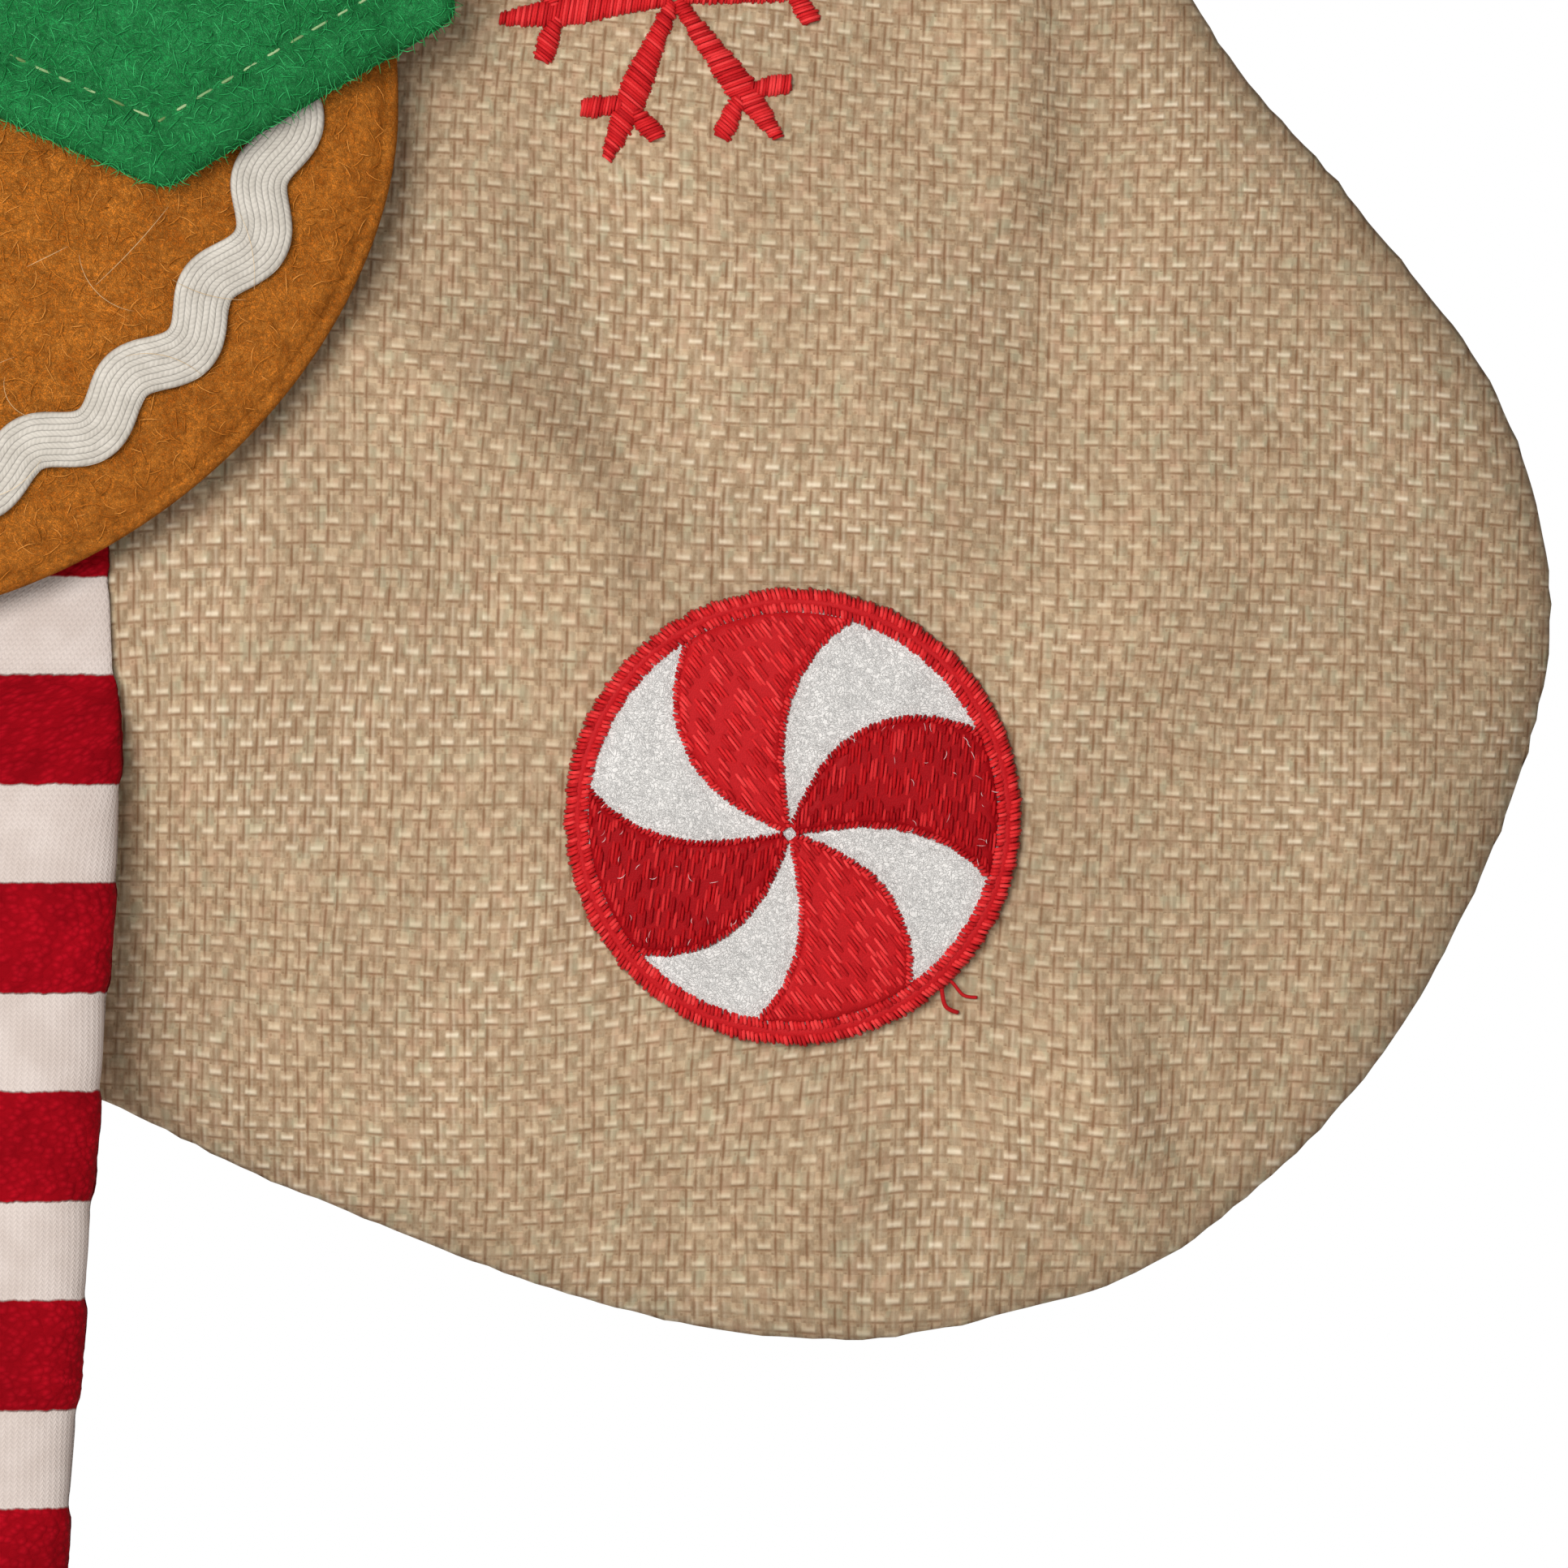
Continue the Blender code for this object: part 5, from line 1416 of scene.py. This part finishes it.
ARM = [(47.4, 21.0), (57.0, 27.5), (68.0, 34.5), (80.0, 39.0), (88.0, 49.0), (86.0, 61.0)]
ARM += [(76.0, 66.5), (65.0, 62.0), (55.0, 53.0), (42.8, 41.5)]
FOOT = [(-9.0, 0.0), (9.0, 0.0), (21.0, -4.5), (27.0, -14.5), (21.5, -26.0), (6.0, -30.6)]
FOOT += [(-7.5, -27.0), (-11.5, -15.0)]
LEG_HINGE = JOINTS["leg_swing_right"]
ANKLE = JOINTS["ankle_right"]
# Down the leg: height, width, thickness and how far forward its middle is.
LEG_STATIONS = (
    (-433.0, 16.2, 1.7, -15.0),
    (-440.0, 18.0, 1.8, -15.0),
    (-447.5, 19.6, 2.6, -15.2),
    (-452.5, 21.5, 4.6, -16.5),
    (-461.0, 22.8, 7.6, -17.9),
    (-480.0, 22.6, 8.2, -18.2),
    (-515.0, 21.8, 8.2, -18.2),
    (-545.0, 21.0, 7.9, -18.2),
    (-553.0, 20.0, 6.0, -18.2),
    (-558.6, 17.5, 3.0, -18.2),
    (-561.0, 15.5, 1.6, -18.2),
)


def arms():
    def back(share):
        return 0.6 + 2.4 * share**2

    for side, sign, seed in (("right", 1.0, 17), ("left", -1.0, 23)):
        rim = even_rim(smooth_curve(on_side(sign, ARM), 20, closed=True), 200)
        centre = on_side(sign, (64.0, 45.5))
        stuffed_pad(f"felt_arm_{side}", [f"arm_{side}"], rim, centre, 4.6, ARM_CROWN, back, 0.9, seed)
        path, arm_face = on_side(sign, [(71.0, 38.5), (60.5, 55.5)]), pad_face(rim, centre, 4.6, ARM_CROWN)
        rickrack(f"wrist_icing_{side}", f"wrist_rickrack_{side}", path, arm_face, 2.2, 1.2, 9.0)


def leg_x(z, shift):
    """The leg's middle: both legs hang with the same slight lean towards the heel side."""
    return LEG_HINGE[0] + LEG_SHIFT + shift + (z - LEG_HINGE[2]) * LEG_LEAN


def red_band(z):
    """Above 0 in a red band and below 0 in a white one, in millimetres from the band's edge."""
    part = np.mod(STRIPE_TOP - z, STRIPE_PERIOD) / STRIPE_PERIOD
    middle = RED_SHARE / 2
    return (middle - np.abs(np.mod(part - middle + 0.5, 1.0) - 0.5)) * STRIPE_PERIOD


def leg(side, shift):
    """The knit tube, from its flat top edge under the belly down into the foot."""
    dense = smooth_curve(LEG_STATIONS, 24)
    z = np.arange(LEG_STATIONS[0][0], LEG_STATIONS[-1][0], -0.42 * COARSE)
    wide, thick, middle = at_runs(dense[:, 1:], -dense[:, 0], -z).T
    seed, turns = 9 if shift else 5, full_turn(132)
    points, knit = [], []
    for level, half_x, half_y, y in zip(z, wide / 2, thick / 2, middle):
        ring = superellipse(half_x, half_y, 2.5, turns)
        girth = np.cumsum(np.linalg.norm(np.diff(ring, axis=0, prepend=ring[-1:]), axis=1))
        band, here = red_band(level), np.full(len(ring), level)
        raised = np.clip(band / 0.9, -1, 1) * 0.5 + 0.5
        out = 0.32 * raised - 0.22 * np.exp(-((band / 0.9) ** 2)) * 0.7
        out = out + 0.16 * value_noise(girth + 40.0 * shift, here, 6.0, seed)
        out = out + 0.07 * value_noise(girth * 1.4, here * 1.4, 0.9, seed + 1) * raised
        ring = ring * (1 + out / np.maximum(np.linalg.norm(ring, axis=1), 4.0))[:, None]
        points.append(np.column_stack([ring + (leg_x(level, shift), y), here]))
        knit.append(np.column_stack([girth, here, np.full(len(ring), band)]))
    solid, nodes = (np.vstack(points), tube(len(z), len(turns))), [f"hip_tab_{side}", f"leg_{side}"]
    piece = add_mesh(f"knit_leg_{side}", *solid, KNIT, "striped_knit", nodes, None, knit=np.vstack(knit))
    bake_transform(piece)


def foot(side, sign, shift, seed):
    """A round felt foot that points away from the other one."""
    top = (leg_x(ANKLE[2], shift), ANKLE[2] - 1.1)
    rim = even_rim(smooth_curve(on_side(sign, FOOT, top), 24, closed=True), 200)
    centre, body = on_side(sign, (6.0, -15.0), top), f"foot_{side}"

    def ground(flat, off):
        x, z = np.asarray(flat, float).T
        return np.column_stack([x, ANKLE[1] - off, z])

    def back(share):
        return -1.3 - FOOT_CROWN * dome(share)

    stuffed_pad(f"felt_{body}", [body], rim, centre, 1.3, FOOT_CROWN, back, 1.0, seed, ground, body)
    path, node = on_side(sign, [(-7.0, -9.0), (19.5, -10.5)], top), f"ankle_rickrack_{side}"
    foot_face = pad_face(rim, centre, 1.3, FOOT_CROWN)
    rickrack(f"ankle_icing_{side}", node, path, foot_face, 2.2, 1.2, 9.0, 0.0, ground, body)


def legs_and_feet():
    for side, sign, shift, seed in (("right", 1.0, 0.0, 31), ("left", -1.0, -LEG_SPACING, 37)):
        leg(side, shift)
        foot(side, sign, shift, seed)


# ================================================================ studio


def studio():
    """A pale floor well below the feet, white surroundings, a soft key light and a weak back light."""
    mesh = bpy.data.meshes.new("studio_floor")
    rim = circle((0.1, 0.0), 0.95, 96)
    mesh.from_pydata([(x, y, -0.75) for x, y in rim], [], [tuple(range(len(rim)))])
    mesh.materials.append(floor_paint())
    add_object("studio_floor", mesh)

    world = bpy.data.worlds.new("white_studio")
    world.use_nodes = True
    tree = world.node_tree
    backdrop, rays = tree.nodes["Background"], tree.nodes.new("ShaderNodeLightPath")
    backdrop.inputs["Color"].default_value = (1.0, 1.0, 1.0, 1.0)
    strength = tree.nodes.new("ShaderNodeMapRange")
    tree.links.new(rays.outputs["Is Camera Ray"], strength.inputs["Value"])
    strength.inputs["To Min"].default_value = 0.5
    strength.inputs["To Max"].default_value = 1.0
    tree.links.new(strength.outputs[0], backdrop.inputs["Strength"])
    bpy.context.scene.world = world

    target = Vector((0.15, 0.0, -0.40))
    for name, place, size, power in (
        ("key", (-0.10, -0.86, -0.26), 0.40, 11.2),
        ("back_fill", (-0.35, 0.95, -0.10), 0.80, 10.0),
    ):
        light = bpy.data.lights.new(name, "AREA")
        light.size, light.energy = size, power
        lamp = add_object(name, light)
        lamp.location = place
        lamp.rotation_euler = (target - Vector(place)).to_track_quat("-Z", "Y").to_euler()


VIEW_MIDDLE = (184.3, -13.0, -458.3)
VIEW_WIDTH = 148.6
LENS, SENSOR = 245.0, 36.0


def camera():
    data = bpy.data.cameras.new("camera")
    data.lens, data.sensor_width = LENS, SENSOR
    data.clip_start, data.clip_end = 0.05, 20.0
    data.dof.use_dof = False
    eye = add_object("camera", data)
    x, y, z = (value * MM for value in VIEW_MIDDLE)
    eye.location = (x, y - VIEW_WIDTH * MM * LENS / SENSOR, z)
    eye.rotation_euler = (math.pi / 2, 0.0, 0.0)
    bpy.context.scene.camera = eye


bpy.context.scene.view_settings.view_transform = "Standard"
bag_panels()
cuff()
hanging_loop()
snowflakes()
peppermint()
pads()
icing_trims()
stray_hairs()
vest()
buttons()
bow()
face()
arms()
legs_and_feet()
studio()
camera()
